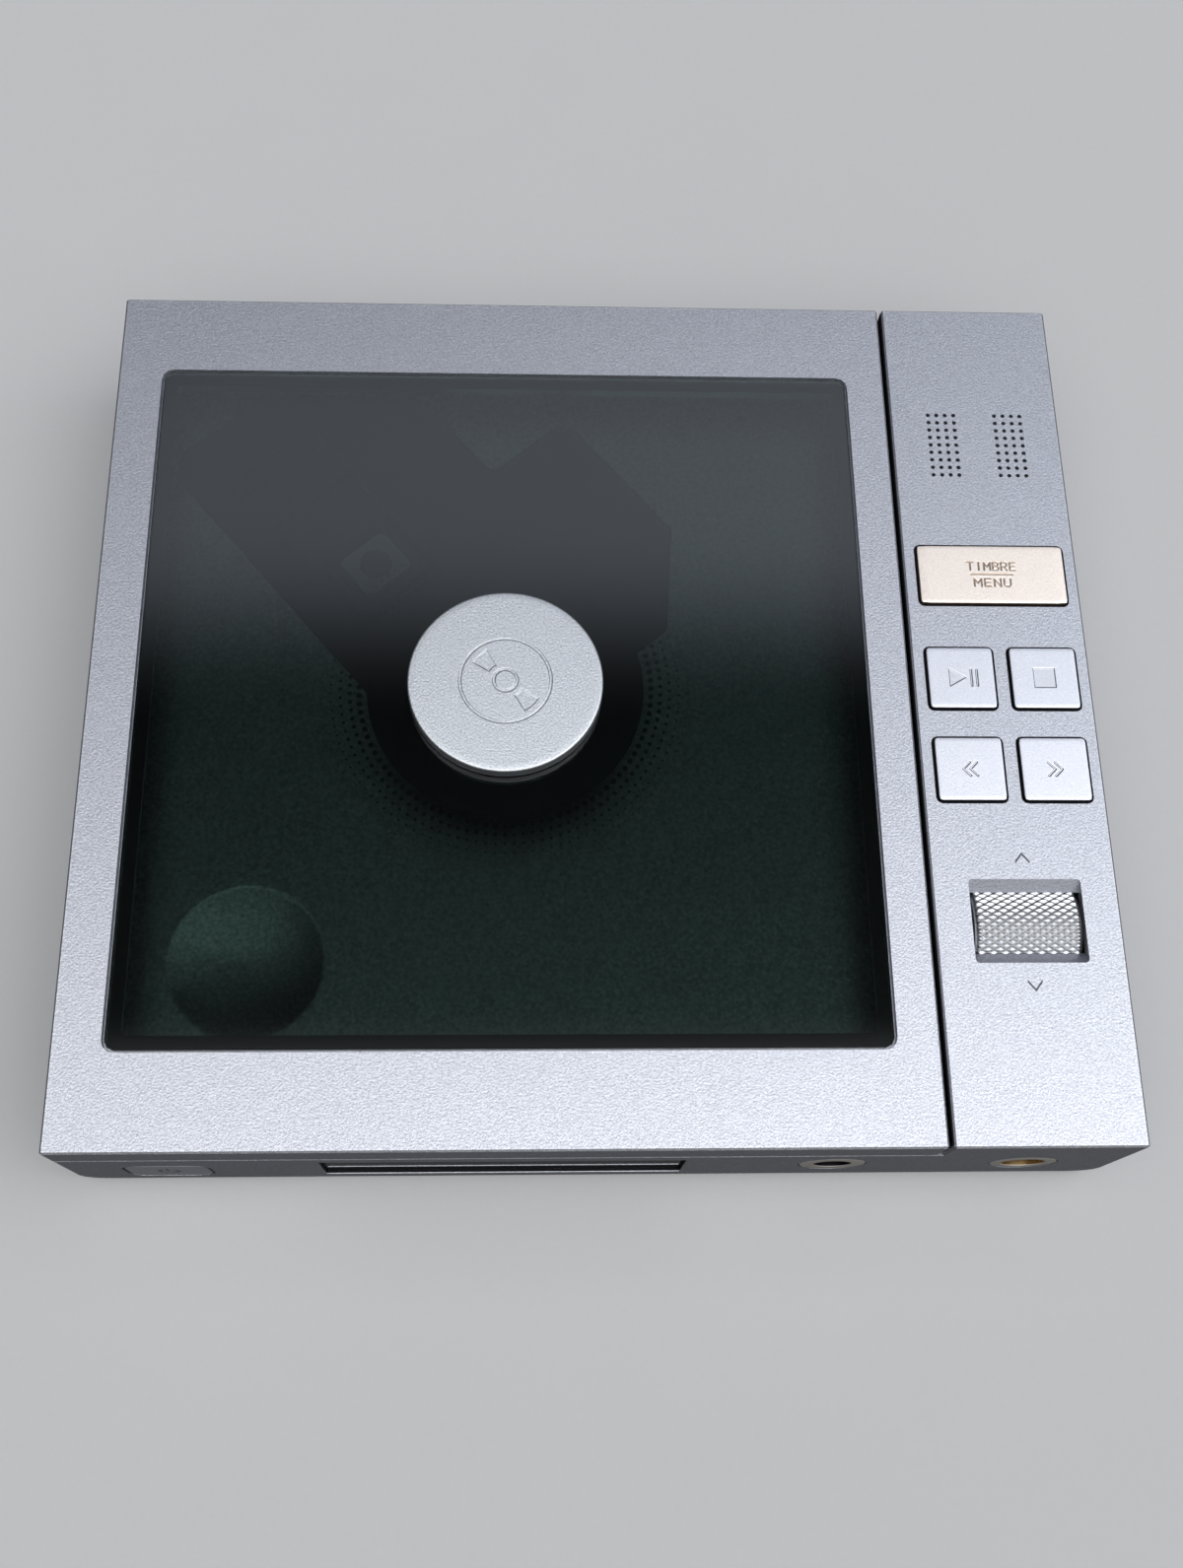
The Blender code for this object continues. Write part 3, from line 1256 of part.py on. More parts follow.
def make_spindle_hub():
    """Turntable with a centring spigot, a groove for its pad, a magnet seat and catch holes."""
    groove = PAD_THICKNESS + CLEARANCE - PAD_PROUD
    boss_end = HUB_TABLE_UNDERSIDE - HUB_TABLE_THICKNESS
    seat_floor = SPIGOT_TOP - MAGNET_THICKNESS - CLEARANCE
    hub = turned("spindle_hub", [
        (0, seat_floor),
        (MAGNET_RADIUS + RUNNING_GAP, seat_floor),
        (MAGNET_RADIUS + RUNNING_GAP, SPIGOT_TOP),
        (SPIGOT_TOP_RADIUS, SPIGOT_TOP),
        (SPIGOT_RADIUS, DISC_UNDERSIDE + DISC_THICKNESS / 2),
        (SPIGOT_RADIUS, HUB_TABLE_TOP),
        (PAD_INNER_RADIUS - RUNNING_GAP, HUB_TABLE_TOP),
        (PAD_INNER_RADIUS - RUNNING_GAP, HUB_TABLE_TOP - groove),
        (PAD_OUTER_RADIUS + RUNNING_GAP, HUB_TABLE_TOP - groove),
        (PAD_OUTER_RADIUS + RUNNING_GAP, HUB_TABLE_TOP),
        (HUB_RADIUS, HUB_TABLE_TOP),
        (HUB_RADIUS, HUB_TABLE_UNDERSIDE),
        (HUB_BOSS_RADIUS, HUB_TABLE_UNDERSIDE),
        (HUB_BOSS_RADIUS, boss_end),
        (0, boss_end),
    ], FINE_TURN)
    hub.location = at(*SPINDLE, 0)
    bore = rod("hub_bore", SHAFT_RADIUS + RUNNING_GAP, boss_end - OVERRUN, HUB_TABLE_TOP, SMALL_TURN, True)
    bore.location = hub.location
    cut(hub, bore)
    for index in range(CATCH_COUNT):
        hole = rod("catch_hole", CATCH_RADIUS + RUNNING_GAP, catch_reach() - CATCH_RADIUS - RUNNING_GAP,
                   SPIGOT_RADIUS + OVERRUN, SMALL_TURN, True)
        hole.location = hub.location + Vector((0, 0, catch_level()))
        hole.rotation_euler = (0, math.pi / 2, catch_turn(index))
        cut(hub, hole)
    return hub


def catch_reach():
    """Distance of a catch ball's centre from the spindle."""
    return SPIGOT_RADIUS + CATCH_PROUD - CATCH_RADIUS


def catch_level():
    """Height of the catch balls: their widest point is just above the disc's middle."""
    return DISC_UNDERSIDE + DISC_THICKNESS / 2


def catch_turn(index):
    """Angle of a catch round the spindle."""
    return SLED_ANGLE + 2 * math.pi * index / CATCH_COUNT


def make_disc_catches():
    """Sprung balls that hold the disc on the spigot."""
    balls = []
    for index in range(CATCH_COUNT):
        profile = [(0, CATCH_RADIUS)]
        for step in range(1, HOLE_TURN):
            angle = math.pi * step / HOLE_TURN
            profile.append((CATCH_RADIUS * math.sin(angle), CATCH_RADIUS * math.cos(angle)))
        profile.append((0, -CATCH_RADIUS))
        ball = turned(f"disc_catch_{index + 1}", profile, SMALL_TURN)
        turn = catch_turn(index)
        reach = Vector((math.cos(turn), math.sin(turn), 0)) * catch_reach()
        ball.location = at(*SPINDLE, catch_level()) + reach
        smooth(ball)
        balls.append(ball)
    return balls


def make_hub_pad():
    """Friction ring that the disc lies on."""
    pad = turned("hub_pad", [
        (PAD_INNER_RADIUS, DISC_UNDERSIDE),
        (PAD_OUTER_RADIUS, DISC_UNDERSIDE),
        (PAD_OUTER_RADIUS, DISC_UNDERSIDE - PAD_THICKNESS),
        (PAD_INNER_RADIUS, DISC_UNDERSIDE - PAD_THICKNESS),
    ], FINE_TURN, ring=True)
    pad.location = at(*SPINDLE, 0)
    return pad


def make_hub_magnet():
    """Magnet in the top of the spigot."""
    magnet = rod("hub_magnet", MAGNET_RADIUS, SPIGOT_TOP - MAGNET_THICKNESS, SPIGOT_TOP)
    magnet.location = at(*SPINDLE, 0)
    return magnet


# Mechanism: feed and pickup


def make_feed_motor(mechanism):
    """Small motor whose shaft is the feed screw."""
    face = FEED_MOTOR_FACE
    bore = FEED_SCREW_RADIUS + CLEARANCE
    shoulder = FEED_SHOULDER_SHARE * FEED_MOTOR_RADIUS
    tail = face - FEED_MOTOR_LENGTH
    motor = turned("feed_motor", [
        (0, face - FEED_MOTOR_LENGTH / 2),
        (bore, face - FEED_MOTOR_LENGTH / 2),
        (bore, face + FEED_MOTOR_SHOULDER_LENGTH),
        (shoulder, face + FEED_MOTOR_SHOULDER_LENGTH),
        (shoulder, face),
        (FEED_MOTOR_RADIUS, face),
        (FEED_MOTOR_RADIUS, tail),
        (0, tail),
    ], ROUND_TURN)
    motor.location = (0, -SCREW_SIDE, ROD_LEVEL)
    lay_along_x(motor)
    motor.parent = mechanism
    return motor


def make_feed_screw(mechanism):
    """Feed screw with its collar next to the motor."""
    start = FEED_MOTOR_FACE - FEED_MOTOR_LENGTH / 2 + CLEARANCE
    collar = FEED_MOTOR_FACE + FEED_MOTOR_SHOULDER_LENGTH + CLEARANCE
    end = ROD_END + ROD_SEAT - CLEARANCE
    screw = turned("feed_screw", [
        (0, end),
        (FEED_SCREW_RADIUS, end),
        (FEED_SCREW_RADIUS, collar + FEED_COLLAR_LENGTH),
        (FEED_COLLAR_RADIUS, collar + FEED_COLLAR_LENGTH),
        (FEED_COLLAR_RADIUS, collar),
        (FEED_SCREW_RADIUS, collar),
        (FEED_SCREW_RADIUS, start),
        (0, start),
    ], SMALL_TURN)
    screw.location = (0, -SCREW_SIDE, ROD_LEVEL)
    lay_along_x(screw)
    screw.parent = mechanism
    return screw


def make_sled(mechanism):
    """Pickup sled: bored for one rod, forked on the other, with a follower and the lens tower."""
    outline = bounds(-SLED_INNER, -ROD_RIGHT - SLED_PAST_ROD, SLED_OUTER, ROD_LEFT + SLED_PAST_ROD, SLED_EDGE_RADIUS)
    sled = slab("pickup_sled", [outline], SLED_UNDERSIDE, SLED_TOP)
    tower = bounds(
        -TOWER_HALF_ALONG, -TOWER_HALF_ACROSS, TOWER_HALF_ALONG, TOWER_HALF_ACROSS, HOLDER_CORNER_RADIUS
    )
    follower_far = -SCREW_SIDE - FEED_SCREW_RADIUS
    follower_top = ROD_LEVEL - FEED_SCREW_RADIUS - RUNNING_GAP
    tools = [
        slab("tower", [tower], SLED_TOP - CLEARANCE, TOWER_TOP, True),
        box("follower", (-FOLLOWER_HALF, follower_far, follower_top - FOLLOWER_THICKNESS),
            (FOLLOWER_HALF, -ROD_RIGHT, follower_top), True),
    ]
    bore = rod("rod_bore", ROD_RADIUS + RUNNING_GAP, -SLED_INNER - OVERRUN, SLED_OUTER + OVERRUN, SMALL_TURN, True)
    bore.location = (0, ROD_LEFT, ROD_LEVEL)
    lay_along_x(bore)
    fork_root = -ROD_RIGHT + ROD_RADIUS + CLEARANCE
    fork = box("fork", (-SLED_INNER - OVERRUN, -ROD_RIGHT - SLED_PAST_ROD - OVERRUN, ROD_LEVEL - FORK_HALF),
               (SLED_OUTER + OVERRUN, fork_root, ROD_LEVEL + FORK_HALF), True)
    window = rod("tower_well", LENS_RADIUS, ROD_LEVEL, TOWER_TOP + OVERRUN, ROUND_TURN, True)
    fuse(sled, *tools)
    cut(sled, bore, fork, window)
    for thing in [sled, *tools, bore, fork, window]:
        thing.parent = mechanism
        thing.location.x = LENS_FROM_SPINDLE
    return sled


def make_lens_holder(mechanism):
    """Floating lens holder over the tower."""
    outline = rectangle(2 * HOLDER_HALF_ALONG, 2 * HOLDER_HALF_ACROSS, HOLDER_CORNER_RADIUS)
    hole = circle(LENS_RADIUS + RUNNING_GAP, ROUND_TURN)
    holder = slab("lens_holder", [outline, hole], HOLDER_UNDERSIDE, HOLDER_TOP)
    holder.parent = mechanism
    holder.location.x = LENS_FROM_SPINDLE
    return holder


def make_lens(mechanism):
    """Objective lens, domed above and flatter below."""
    rim_top = HOLDER_TOP - CLEARANCE
    ball = (LENS_RADIUS**2 + LENS_BULGE**2) / (2 * LENS_BULGE)
    widest = math.asin(LENS_RADIUS / ball)
    centre = rim_top + LENS_BULGE - ball
    profile = []
    for step in range(ARC_STEPS + 1):
        angle = widest * step / ARC_STEPS
        profile.append((ball * math.sin(angle), centre + ball * math.cos(angle)))
    profile += [(LENS_RADIUS, rim_top - LENS_EDGE), (0, rim_top - LENS_EDGE)]
    lens = turned("objective_lens", profile)
    lens.location.x = LENS_FROM_SPINDLE
    lens.parent = mechanism
    smooth(lens)
    return lens


# Lid


def lid_outer():
    """Side outline of the lid, round at its lower rear edge about the hinge, carried across."""
    front = -BODY_DEPTH / 2
    rear = BODY_DEPTH / 2
    outline = rounded([
        (front, LID_BOTTOM, 0),
        (rear, LID_BOTTOM, HINGE_INSET - WELD),
        (rear, TOP, 0),
        (front, TOP, 0),
    ])
    left = -BODY_WIDTH / 2
    frame = prism_along_x("lid_frame", outline, left, left + LID_WIDTH)
    chamfer(frame, EDGE_CHAMFER)
    return frame


def lid_magnet_place():
    """Place of the lid's magnet and the body's: midway between the display and the deck plate."""
    module_rear = END_WALL + CLEARANCE + DISPLAY_MODULE_THICKNESS
    return LID_WIDTH / 2, (module_rear + RIM_FRONT - DECK_LAP) / 2


def make_lid_frame():
    """Lid frame: window with a ledge, hollow over the disc, hinge notches, bores and magnet seats."""
    frame = lid_outer()
    centre = at(*SPINDLE, 0)[:2]
    window = rectangle(WINDOW, WINDOW, WINDOW_RADIUS, centre)
    opening = rectangle(WINDOW_INNER, WINDOW_INNER, LEDGE_CORNER_RADIUS, centre)
    hollow = rectangle(WELL, WELL, WELL_CORNER_RADIUS, centre)
    cut(
        frame,
        slab("window", [window], GLASS_SEAT, TOP + OVERRUN, True),
        slab("ledge_opening", [opening], LEDGE_UNDERSIDE - OVERRUN, TOP, True),
        slab("lid_hollow", [hollow], LID_BOTTOM - OVERRUN, LEDGE_UNDERSIDE, True),
    )
    half = HINGE_BLOCK_WIDTH / 2 + CLEARANCE
    reach = HINGE_BARREL_RADIUS + CLEARANCE
    for _, x in hinge_places():
        low = at(x - half, HINGE_Y - reach, LID_BOTTOM - OVERRUN)
        cut(frame, box("lid_notch", low, at(x + half, BODY_DEPTH + OVERRUN, HINGE_Z + reach), True))
        length = half + HINGE_PIN_REACH
        bore = rod("pin_bore", HINGE_PIN_RADIUS + RUNNING_GAP, -length, length, SMALL_TURN, True)
        bore.location = at(x, HINGE_Y, HINGE_Z)
        lay_along_x(bore)
        cut(frame, bore)
    seat_top = LID_BOTTOM + LID_MAGNET_THICKNESS + 2 * CLEARANCE
    seat = rod("magnet_seat", LID_MAGNET_RADIUS + CLEARANCE, LID_BOTTOM - OVERRUN, seat_top, ROUND_TURN, True)
    seat.location = at(*lid_magnet_place(), 0)
    cut(frame, seat)
    return frame


def make_lid_glass():
    """Smoked glass with the hole for the puck's neck."""
    centre = at(*SPINDLE, 0)[:2]
    rim = rectangle(GLASS, GLASS, WINDOW_RADIUS - GLASS_GAP, centre)
    hole = circle(PUCK_NECK_RADIUS + CLEARANCE, ROUND_TURN, centre)
    return slab("lid_glass", [rim, hole], GLASS_UNDERSIDE, GLASS_TOP)


def make_puck():
    """Round cap on the glass, with a neck through it and a bore for the clamp's head."""
    bore = CLAMP_HEAD_RADIUS + CLEARANCE
    bore_top = CLAMP_HEAD_UNDERSIDE + CLAMP_HEAD_HEIGHT + CLAMP_HEAD_SLACK
    puck = turned("puck", [
        (0, PUCK_TOP),
        (PUCK_RADIUS - PUCK_CHAMFER, PUCK_TOP),
        (PUCK_RADIUS, PUCK_TOP - PUCK_CHAMFER),
        (PUCK_RADIUS, PUCK_UNDERSIDE),
        (PUCK_NECK_RADIUS, PUCK_UNDERSIDE),
        (PUCK_NECK_RADIUS, PUCK_NECK_END),
        (bore, PUCK_NECK_END),
        (bore, bore_top),
        (0, bore_top),
    ], FINE_TURN)
    puck.location = at(*SPINDLE, 0)
    smooth(puck)
    return puck


def make_puck_retainer():
    """Ring under the glass that holds the puck and carries the clamp's head."""
    step = PUCK_NECK_RADIUS + CLEARANCE
    ring = turned("puck_retainer", [
        (step, RETAINER_TOP + RETAINER_RIM),
        (RETAINER_RADIUS, RETAINER_TOP + RETAINER_RIM),
        (RETAINER_RADIUS, RETAINER_UNDERSIDE),
        (CLAMP_STEM_RADIUS + CLEARANCE, RETAINER_UNDERSIDE),
        (CLAMP_STEM_RADIUS + CLEARANCE, RETAINER_TOP),
        (step, RETAINER_TOP),
    ], FINE_TURN, ring=True)
    ring.location = at(*SPINDLE, 0)
    return ring


def make_clamp():
    """Clamp disc that spins with the disc, hung by its headed stem."""
    recess = SPIGOT_RADIUS + CLAMP_RECESS_SLACK
    clamp = turned("clamp_disc", [
        (0, CLAMP_HEAD_UNDERSIDE + CLAMP_HEAD_HEIGHT),
        (CLAMP_HEAD_RADIUS, CLAMP_HEAD_UNDERSIDE + CLAMP_HEAD_HEIGHT),
        (CLAMP_HEAD_RADIUS, CLAMP_HEAD_UNDERSIDE),
        (CLAMP_STEM_RADIUS, CLAMP_HEAD_UNDERSIDE),
        (CLAMP_STEM_RADIUS, CLAMP_TOP),
        (CLAMP_RADIUS - CLAMP_CHAMFER, CLAMP_TOP),
        (CLAMP_RADIUS, CLAMP_TOP - CLAMP_CHAMFER),
        (CLAMP_RADIUS, CLAMP_UNDERSIDE),
        (recess, CLAMP_UNDERSIDE),
        (recess, CLAMP_UNDERSIDE + CLAMP_RECESS_DEPTH),
        (0, CLAMP_UNDERSIDE + CLAMP_RECESS_DEPTH),
    ], FINE_TURN)
    clamp.location = at(*SPINDLE, 0)
    return clamp


def make_magnet(name, bottom, top):
    """Round magnet at the lid's magnet place."""
    magnet = rod(name, LID_MAGNET_RADIUS, bottom, top)
    magnet.location = at(*lid_magnet_place(), 0)
    return magnet


def make_hinge_block(side, x):
    """Hinge block: a round knuckle at the pin on a stalk, with a foot under the rim."""
    foot_low = RIM_UNDERSIDE - HINGE_BLOCK_DROP
    foot_top = DECK_TOP
    knuckle = HINGE_BARREL_RADIUS
    y = HINGE_Y - BODY_DEPTH / 2
    outline = rounded([
        (y - knuckle - HINGE_FOOT_LENGTH, foot_low, 0),
        (y + knuckle, foot_low, 0),
        (y + knuckle, HINGE_Z + knuckle, knuckle - WELD),
        (y - knuckle, HINGE_Z + knuckle, knuckle - WELD),
        (y - knuckle, foot_top, 0),
        (y - knuckle - HINGE_FOOT_LENGTH, foot_top, 0),
    ])
    left = x - BODY_WIDTH / 2 - HINGE_BLOCK_WIDTH / 2
    hinge = prism_along_x(f"hinge_block_{side}", outline, left, left + HINGE_BLOCK_WIDTH)
    bore = rod("block_bore", HINGE_PIN_RADIUS + RUNNING_GAP, -HINGE_BLOCK_WIDTH, HINGE_BLOCK_WIDTH, SMALL_TURN, True)
    bore.location = at(x, HINGE_Y, HINGE_Z)
    lay_along_x(bore)
    cut(hinge, bore)
    return hinge


def make_hinge_pin(side, x):
    """Hinge pin through its block and into the lid on both sides."""
    length = HINGE_BLOCK_WIDTH / 2 + HINGE_PIN_REACH
    pin = rod(f"hinge_pin_{side}", HINGE_PIN_RADIUS, -length, length)
    pin.location = at(x, HINGE_Y, HINGE_Z)
    lay_along_x(pin)
    return pin


# Control column


def key_solid(name, width, length, radius, top, place):
    """Key along Z: chamfered cap, flange under the wall and stem."""
    cap = slab(name, [rectangle(width, length, radius)], KEY_FLANGE_TOP - CLEARANCE, top)
    chamfer(cap, KEY_CHAMFER)
    wide = width + 2 * KEY_FLANGE
    deep = length + 2 * KEY_FLANGE
    flange = slab(f"{name}_flange", [rectangle(wide, deep, radius)], KEY_FLANGE_UNDERSIDE, KEY_FLANGE_TOP, True)
    stem_end = KEY_FLANGE_UNDERSIDE - KEY_STEM_LENGTH
    stem = rod(f"{name}_stem", KEY_STEM_RADIUS, stem_end, KEY_FLANGE_TOP - CLEARANCE, SMALL_TURN, True)
    for thing in (cap, flange, stem):
        thing.location.x = place.x
        thing.location.y = place.y
    fuse(cap, flange, stem)
    return cap


def make_column_keys():
    """The five keys on the control column."""
    keys = {}
    for name, x, y, width in key_places():
        keys[name] = key_solid(name, width, KEY_LENGTH, KEY_CORNER_RADIUS, TOP + KEY_PROUD, at(x, y, 0))
    return keys


def make_key_board():
    """Board under the column keys with a dome switch for each."""
    front = LOWER_KEYS_Y - KEY_LENGTH / 2 - KEY_BOARD_MARGIN
    rear = MENU_Y + KEY_LENGTH / 2 + KEY_BOARD_MARGIN
    place = at(COLUMN_CENTRE, (front + rear) / 2, 0)
    outline = rectangle(MENU_WIDTH, rear - front, KEY_CORNER_RADIUS, place[:2])
    board = slab("key_board", [outline], KEY_BOARD_UNDERSIDE, KEY_BOARD_TOP)
    for _, x, y, _ in key_places():
        dome = turned("dome", [
            (0, DOME_TOP),
            (DOME_RADIUS / 2, DOME_TOP),
            (DOME_RADIUS, KEY_BOARD_TOP - CLEARANCE),
            (0, KEY_BOARD_TOP - CLEARANCE),
        ], SMALL_TURN, helper=True)
        dome.location = at(x, y, 0)
        fuse(board, dome)
    return board


def make_grille_screen():
    """Dust screen under the grille."""
    wide = 2 * GRILLE_BLOCK_WIDTH + GRILLE_BLOCK_GAP + 2 * SCREEN_MARGIN
    place = at(COLUMN_CENTRE, GRILLE_Y, 0)
    outline = rectangle(wide, GRILLE_HEIGHT + 2 * SCREEN_MARGIN, KEY_CORNER_RADIUS, place[:2])
    top = ROOF_UNDERSIDE - CLEARANCE
    return slab("grille_screen", [outline], top - SCREEN_THICKNESS, top)


def make_volume_wheel():
    """Wheel across the column, in one piece with its shaft."""
    half = WHEEL_WIDTH / 2
    reach = WHEEL_SHAFT_REACH
    wheel = turned("volume_wheel", [
        (0, reach),
        (WHEEL_SHAFT_RADIUS, reach),
        (WHEEL_SHAFT_RADIUS, half),
        (WHEEL_RADIUS - EDGE_CHAMFER, half),
        (WHEEL_RADIUS, half - EDGE_CHAMFER),
        (WHEEL_RADIUS, EDGE_CHAMFER - half),
        (WHEEL_RADIUS - EDGE_CHAMFER, -half),
        (WHEEL_SHAFT_RADIUS, -half),
        (WHEEL_SHAFT_RADIUS, -reach),
        (0, -reach),
    ], WHEEL_TURN)
    wheel.location = at(COLUMN_CENTRE, WHEEL_FROM_FRONT, WHEEL_Z)
    lay_along_x(wheel)
    smooth(wheel)
    return wheel


def wheel_shaft_bore():
    """Bore for the shaft in what carries it."""
    reach = WHEEL_SHAFT_REACH + CLEARANCE
    bore = rod("shaft_bore", WHEEL_SHAFT_RADIUS + RUNNING_GAP, -reach, reach, SMALL_TURN, True)
    bore.location = at(COLUMN_CENTRE, WHEEL_FROM_FRONT, WHEEL_Z)
    lay_along_x(bore)
    return bore


def make_wheel_bracket():
    """Carrier on the board: a floor under the wheel and a bearing at its right."""
    left = COLUMN_CENTRE - ENCODER_OUTER
    right = COLUMN_CENTRE + BEARING_OUTER
    front = WHEEL_FROM_FRONT - WHEEL_CARRIER_HALF
    rear = WHEEL_FROM_FRONT + WHEEL_CARRIER_HALF
    bracket = box("wheel_bracket", at(left, front, ON_BOARD), at(right, rear, CARRIER_FLOOR_TOP))
    low = at(COLUMN_CENTRE + CARRIER_INNER, front, ON_BOARD + WHEEL_CARRIER_FLOOR / 2)
    bearing = box("bearing", low, at(right, rear, WHEEL_Z + WHEEL_CARRIER_RISE), True)
    fuse(bracket, bearing)
    cut(bracket, wheel_shaft_bore())
    return bracket


def make_wheel_encoder():
    """Encoder that reads the wheel."""
    front = WHEEL_FROM_FRONT - WHEEL_CARRIER_HALF
    rear = WHEEL_FROM_FRONT + WHEEL_CARRIER_HALF
    low = at(COLUMN_CENTRE - ENCODER_OUTER, front, CARRIER_FLOOR_TOP + CLEARANCE)
    high = at(COLUMN_CENTRE - CARRIER_INNER, rear, WHEEL_Z + WHEEL_CARRIER_RISE)
    encoder = box("wheel_encoder", low, high)
    cut(encoder, wheel_shaft_bore())
    return encoder


# Front face


def make_display_pane():
    """Dark pane behind the lip of the display opening."""
    grow = DISPLAY_REBATE - CLEARANCE
    centre = at(SPINDLE[0], 0, DISPLAY_Z)
    outline = rectangle(DISPLAY_WIDTH + 2 * grow, DISPLAY_HEIGHT + 2 * grow, grow, (centre.x, centre.z))
    front = -BODY_DEPTH / 2 + PANE_FRONT
    return prism_along_y("display_pane", outline, front, front + PANE_THICKNESS)


def make_display_module():
    """Display behind the pane."""
    half = DISPLAY_WIDTH / 2 + DISPLAY_MODULE_MARGIN
    rise = DISPLAY_HEIGHT / 2 + DISPLAY_MODULE_MARGIN
    front = END_WALL + CLEARANCE
    low = at(SPINDLE[0] - half, front, DISPLAY_Z - rise)
    high = at(SPINDLE[0] + half, front + DISPLAY_MODULE_THICKNESS, DISPLAY_Z + rise)
    module = box("display_module", low, high)
    chamfer(module, EDGE_CHAMFER)
    return module


def make_power_key():
    """Power key in the front wall, flush with it, with a flange and a stem behind."""
    centre = at(POWER_KEY_FROM_LEFT, 0, POWER_KEY_Z)
    place = (centre.x, centre.z)
    face = -BODY_DEPTH / 2
    flange_front = face + END_WALL + CLEARANCE
    flange_rear = flange_front + KEY_FLANGE_THICKNESS
    outline = rectangle(POWER_KEY_WIDTH, POWER_KEY_HEIGHT, POWER_KEY_RADIUS, place)
    key = prism_along_y("power_key", outline, face, flange_front + CLEARANCE)
    chamfer(key, KEY_CHAMFER)
    wide = POWER_KEY_WIDTH + 2 * KEY_FLANGE
    tall = POWER_KEY_HEIGHT + 2 * KEY_FLANGE
    outer = rectangle(wide, tall, POWER_KEY_RADIUS, place)
    flange = prism_along_y("power_flange", outer, flange_front, flange_rear, True)
    stem = circle(KEY_STEM_RADIUS, SMALL_TURN, place)
    fuse(key, flange, prism_along_y("power_stem", stem, flange_rear - CLEARANCE, flange_rear + KEY_STEM_LENGTH, True))
    return key


def power_switch_front():
    """Front of the power switch's button, a clearance behind the key's stem."""
    return END_WALL + KEY_FLANGE_THICKNESS + KEY_STEM_LENGTH + 2 * CLEARANCE


def make_power_switch():
    """Small switch with a round button behind the power key, on its upright board."""
    front = power_switch_front() + POWER_BUTTON_LENGTH
    half = POWER_SWITCH_WIDTH / 2
    low = at(POWER_KEY_FROM_LEFT - half, front, POWER_KEY_Z - half)
    switch = box("power_switch", low, at(POWER_KEY_FROM_LEFT + half, front + POWER_SWITCH_DEPTH, POWER_KEY_Z + half))
    centre = at(POWER_KEY_FROM_LEFT, 0, POWER_KEY_Z)
    face = -BODY_DEPTH / 2 + power_switch_front()
    outline = circle(POWER_BUTTON_RADIUS, SMALL_TURN, (centre.x, centre.z))
    fuse(switch, prism_along_y("power_button", outline, face, face + POWER_BUTTON_LENGTH + CLEARANCE, True))
    board_front = front + POWER_SWITCH_DEPTH - CLEARANCE
    board_half = POWER_BOARD_WIDTH / 2
    foot = COVER_TOP + CLEARANCE
    board_low = at(POWER_KEY_FROM_LEFT - board_half, board_front, foot)
    board_high = at(POWER_KEY_FROM_LEFT + board_half, board_front + POWER_BOARD_THICKNESS, foot + POWER_BOARD_HEIGHT)
    fuse(switch, box("power_board", board_low, board_high, True))
    return switch


def make_socket_ring(name, x, mouth):
    """Metal ring round a socket, flush with the front face."""
    ring = turned(name, [
        (mouth + SOCKET_BEVEL, 0),
        (SOCKET_RING_RADIUS, 0),
        (SOCKET_RING_RADIUS, -END_WALL),
        (mouth, -END_WALL),
        (mouth, -SOCKET_BEVEL),
    ], FINE_TURN, ring=True)
    ring.location = at(x, 0, SOCKET_Z)
    ring.rotation_euler = (math.pi / 2, 0, 0)
    return ring


def make_socket_body(name, x, half, bore, length):
    """Socket behind its ring, standing on the board."""
    front = END_WALL + CLEARANCE
    body = box(name, at(x - half, front, ON_BOARD), at(x + half, front + length, SOCKET_BODY_TOP))
    place = at(x, 0, SOCKET_Z)
    start = -BODY_DEPTH / 2 + front
    outline = circle(bore, ROUND_TURN, (place.x, place.z))
    hole_end = start + length - SOCKET_END_WALL
    cut(body, prism_along_y("socket_bore", outline, start - OVERRUN, hole_end, True))
    return body


# Rear face


def make_charging_port():
    """Charging port: a flat round-ended shell with its tongue."""
    centre = at(PORT_X, 0, ON_BOARD + PORT_HEIGHT / 2)
    place = (centre.x, centre.z)
    mouth = BODY_DEPTH / 2
    back = mouth - PORT_LENGTH
    shell = rectangle(PORT_WIDTH, PORT_HEIGHT, PORT_HEIGHT / 2 - WELD, place)
    inner_height = PORT_HEIGHT - 2 * PORT_WALL
    inner = rectangle(PORT_WIDTH - 2 * PORT_WALL, inner_height, inner_height / 2 - WELD, place)
    port = prism_along_y("charging_port", shell, back, mouth)
    cut(port, prism_along_y("port_mouth", inner, back + SOCKET_END_WALL, mouth + OVERRUN, True))
    low = Vector((centre.x - PORT_TONGUE_WIDTH / 2, back + SOCKET_END_WALL / 2, centre.z - PORT_TONGUE_THICKNESS / 2))
    tongue_end = back + SOCKET_END_WALL + PORT_TONGUE_LENGTH
    high = Vector((centre.x + PORT_TONGUE_WIDTH / 2, tongue_end, centre.z + PORT_TONGUE_THICKNESS / 2))
    fuse(port, box("tongue", low, high, True))
    return port


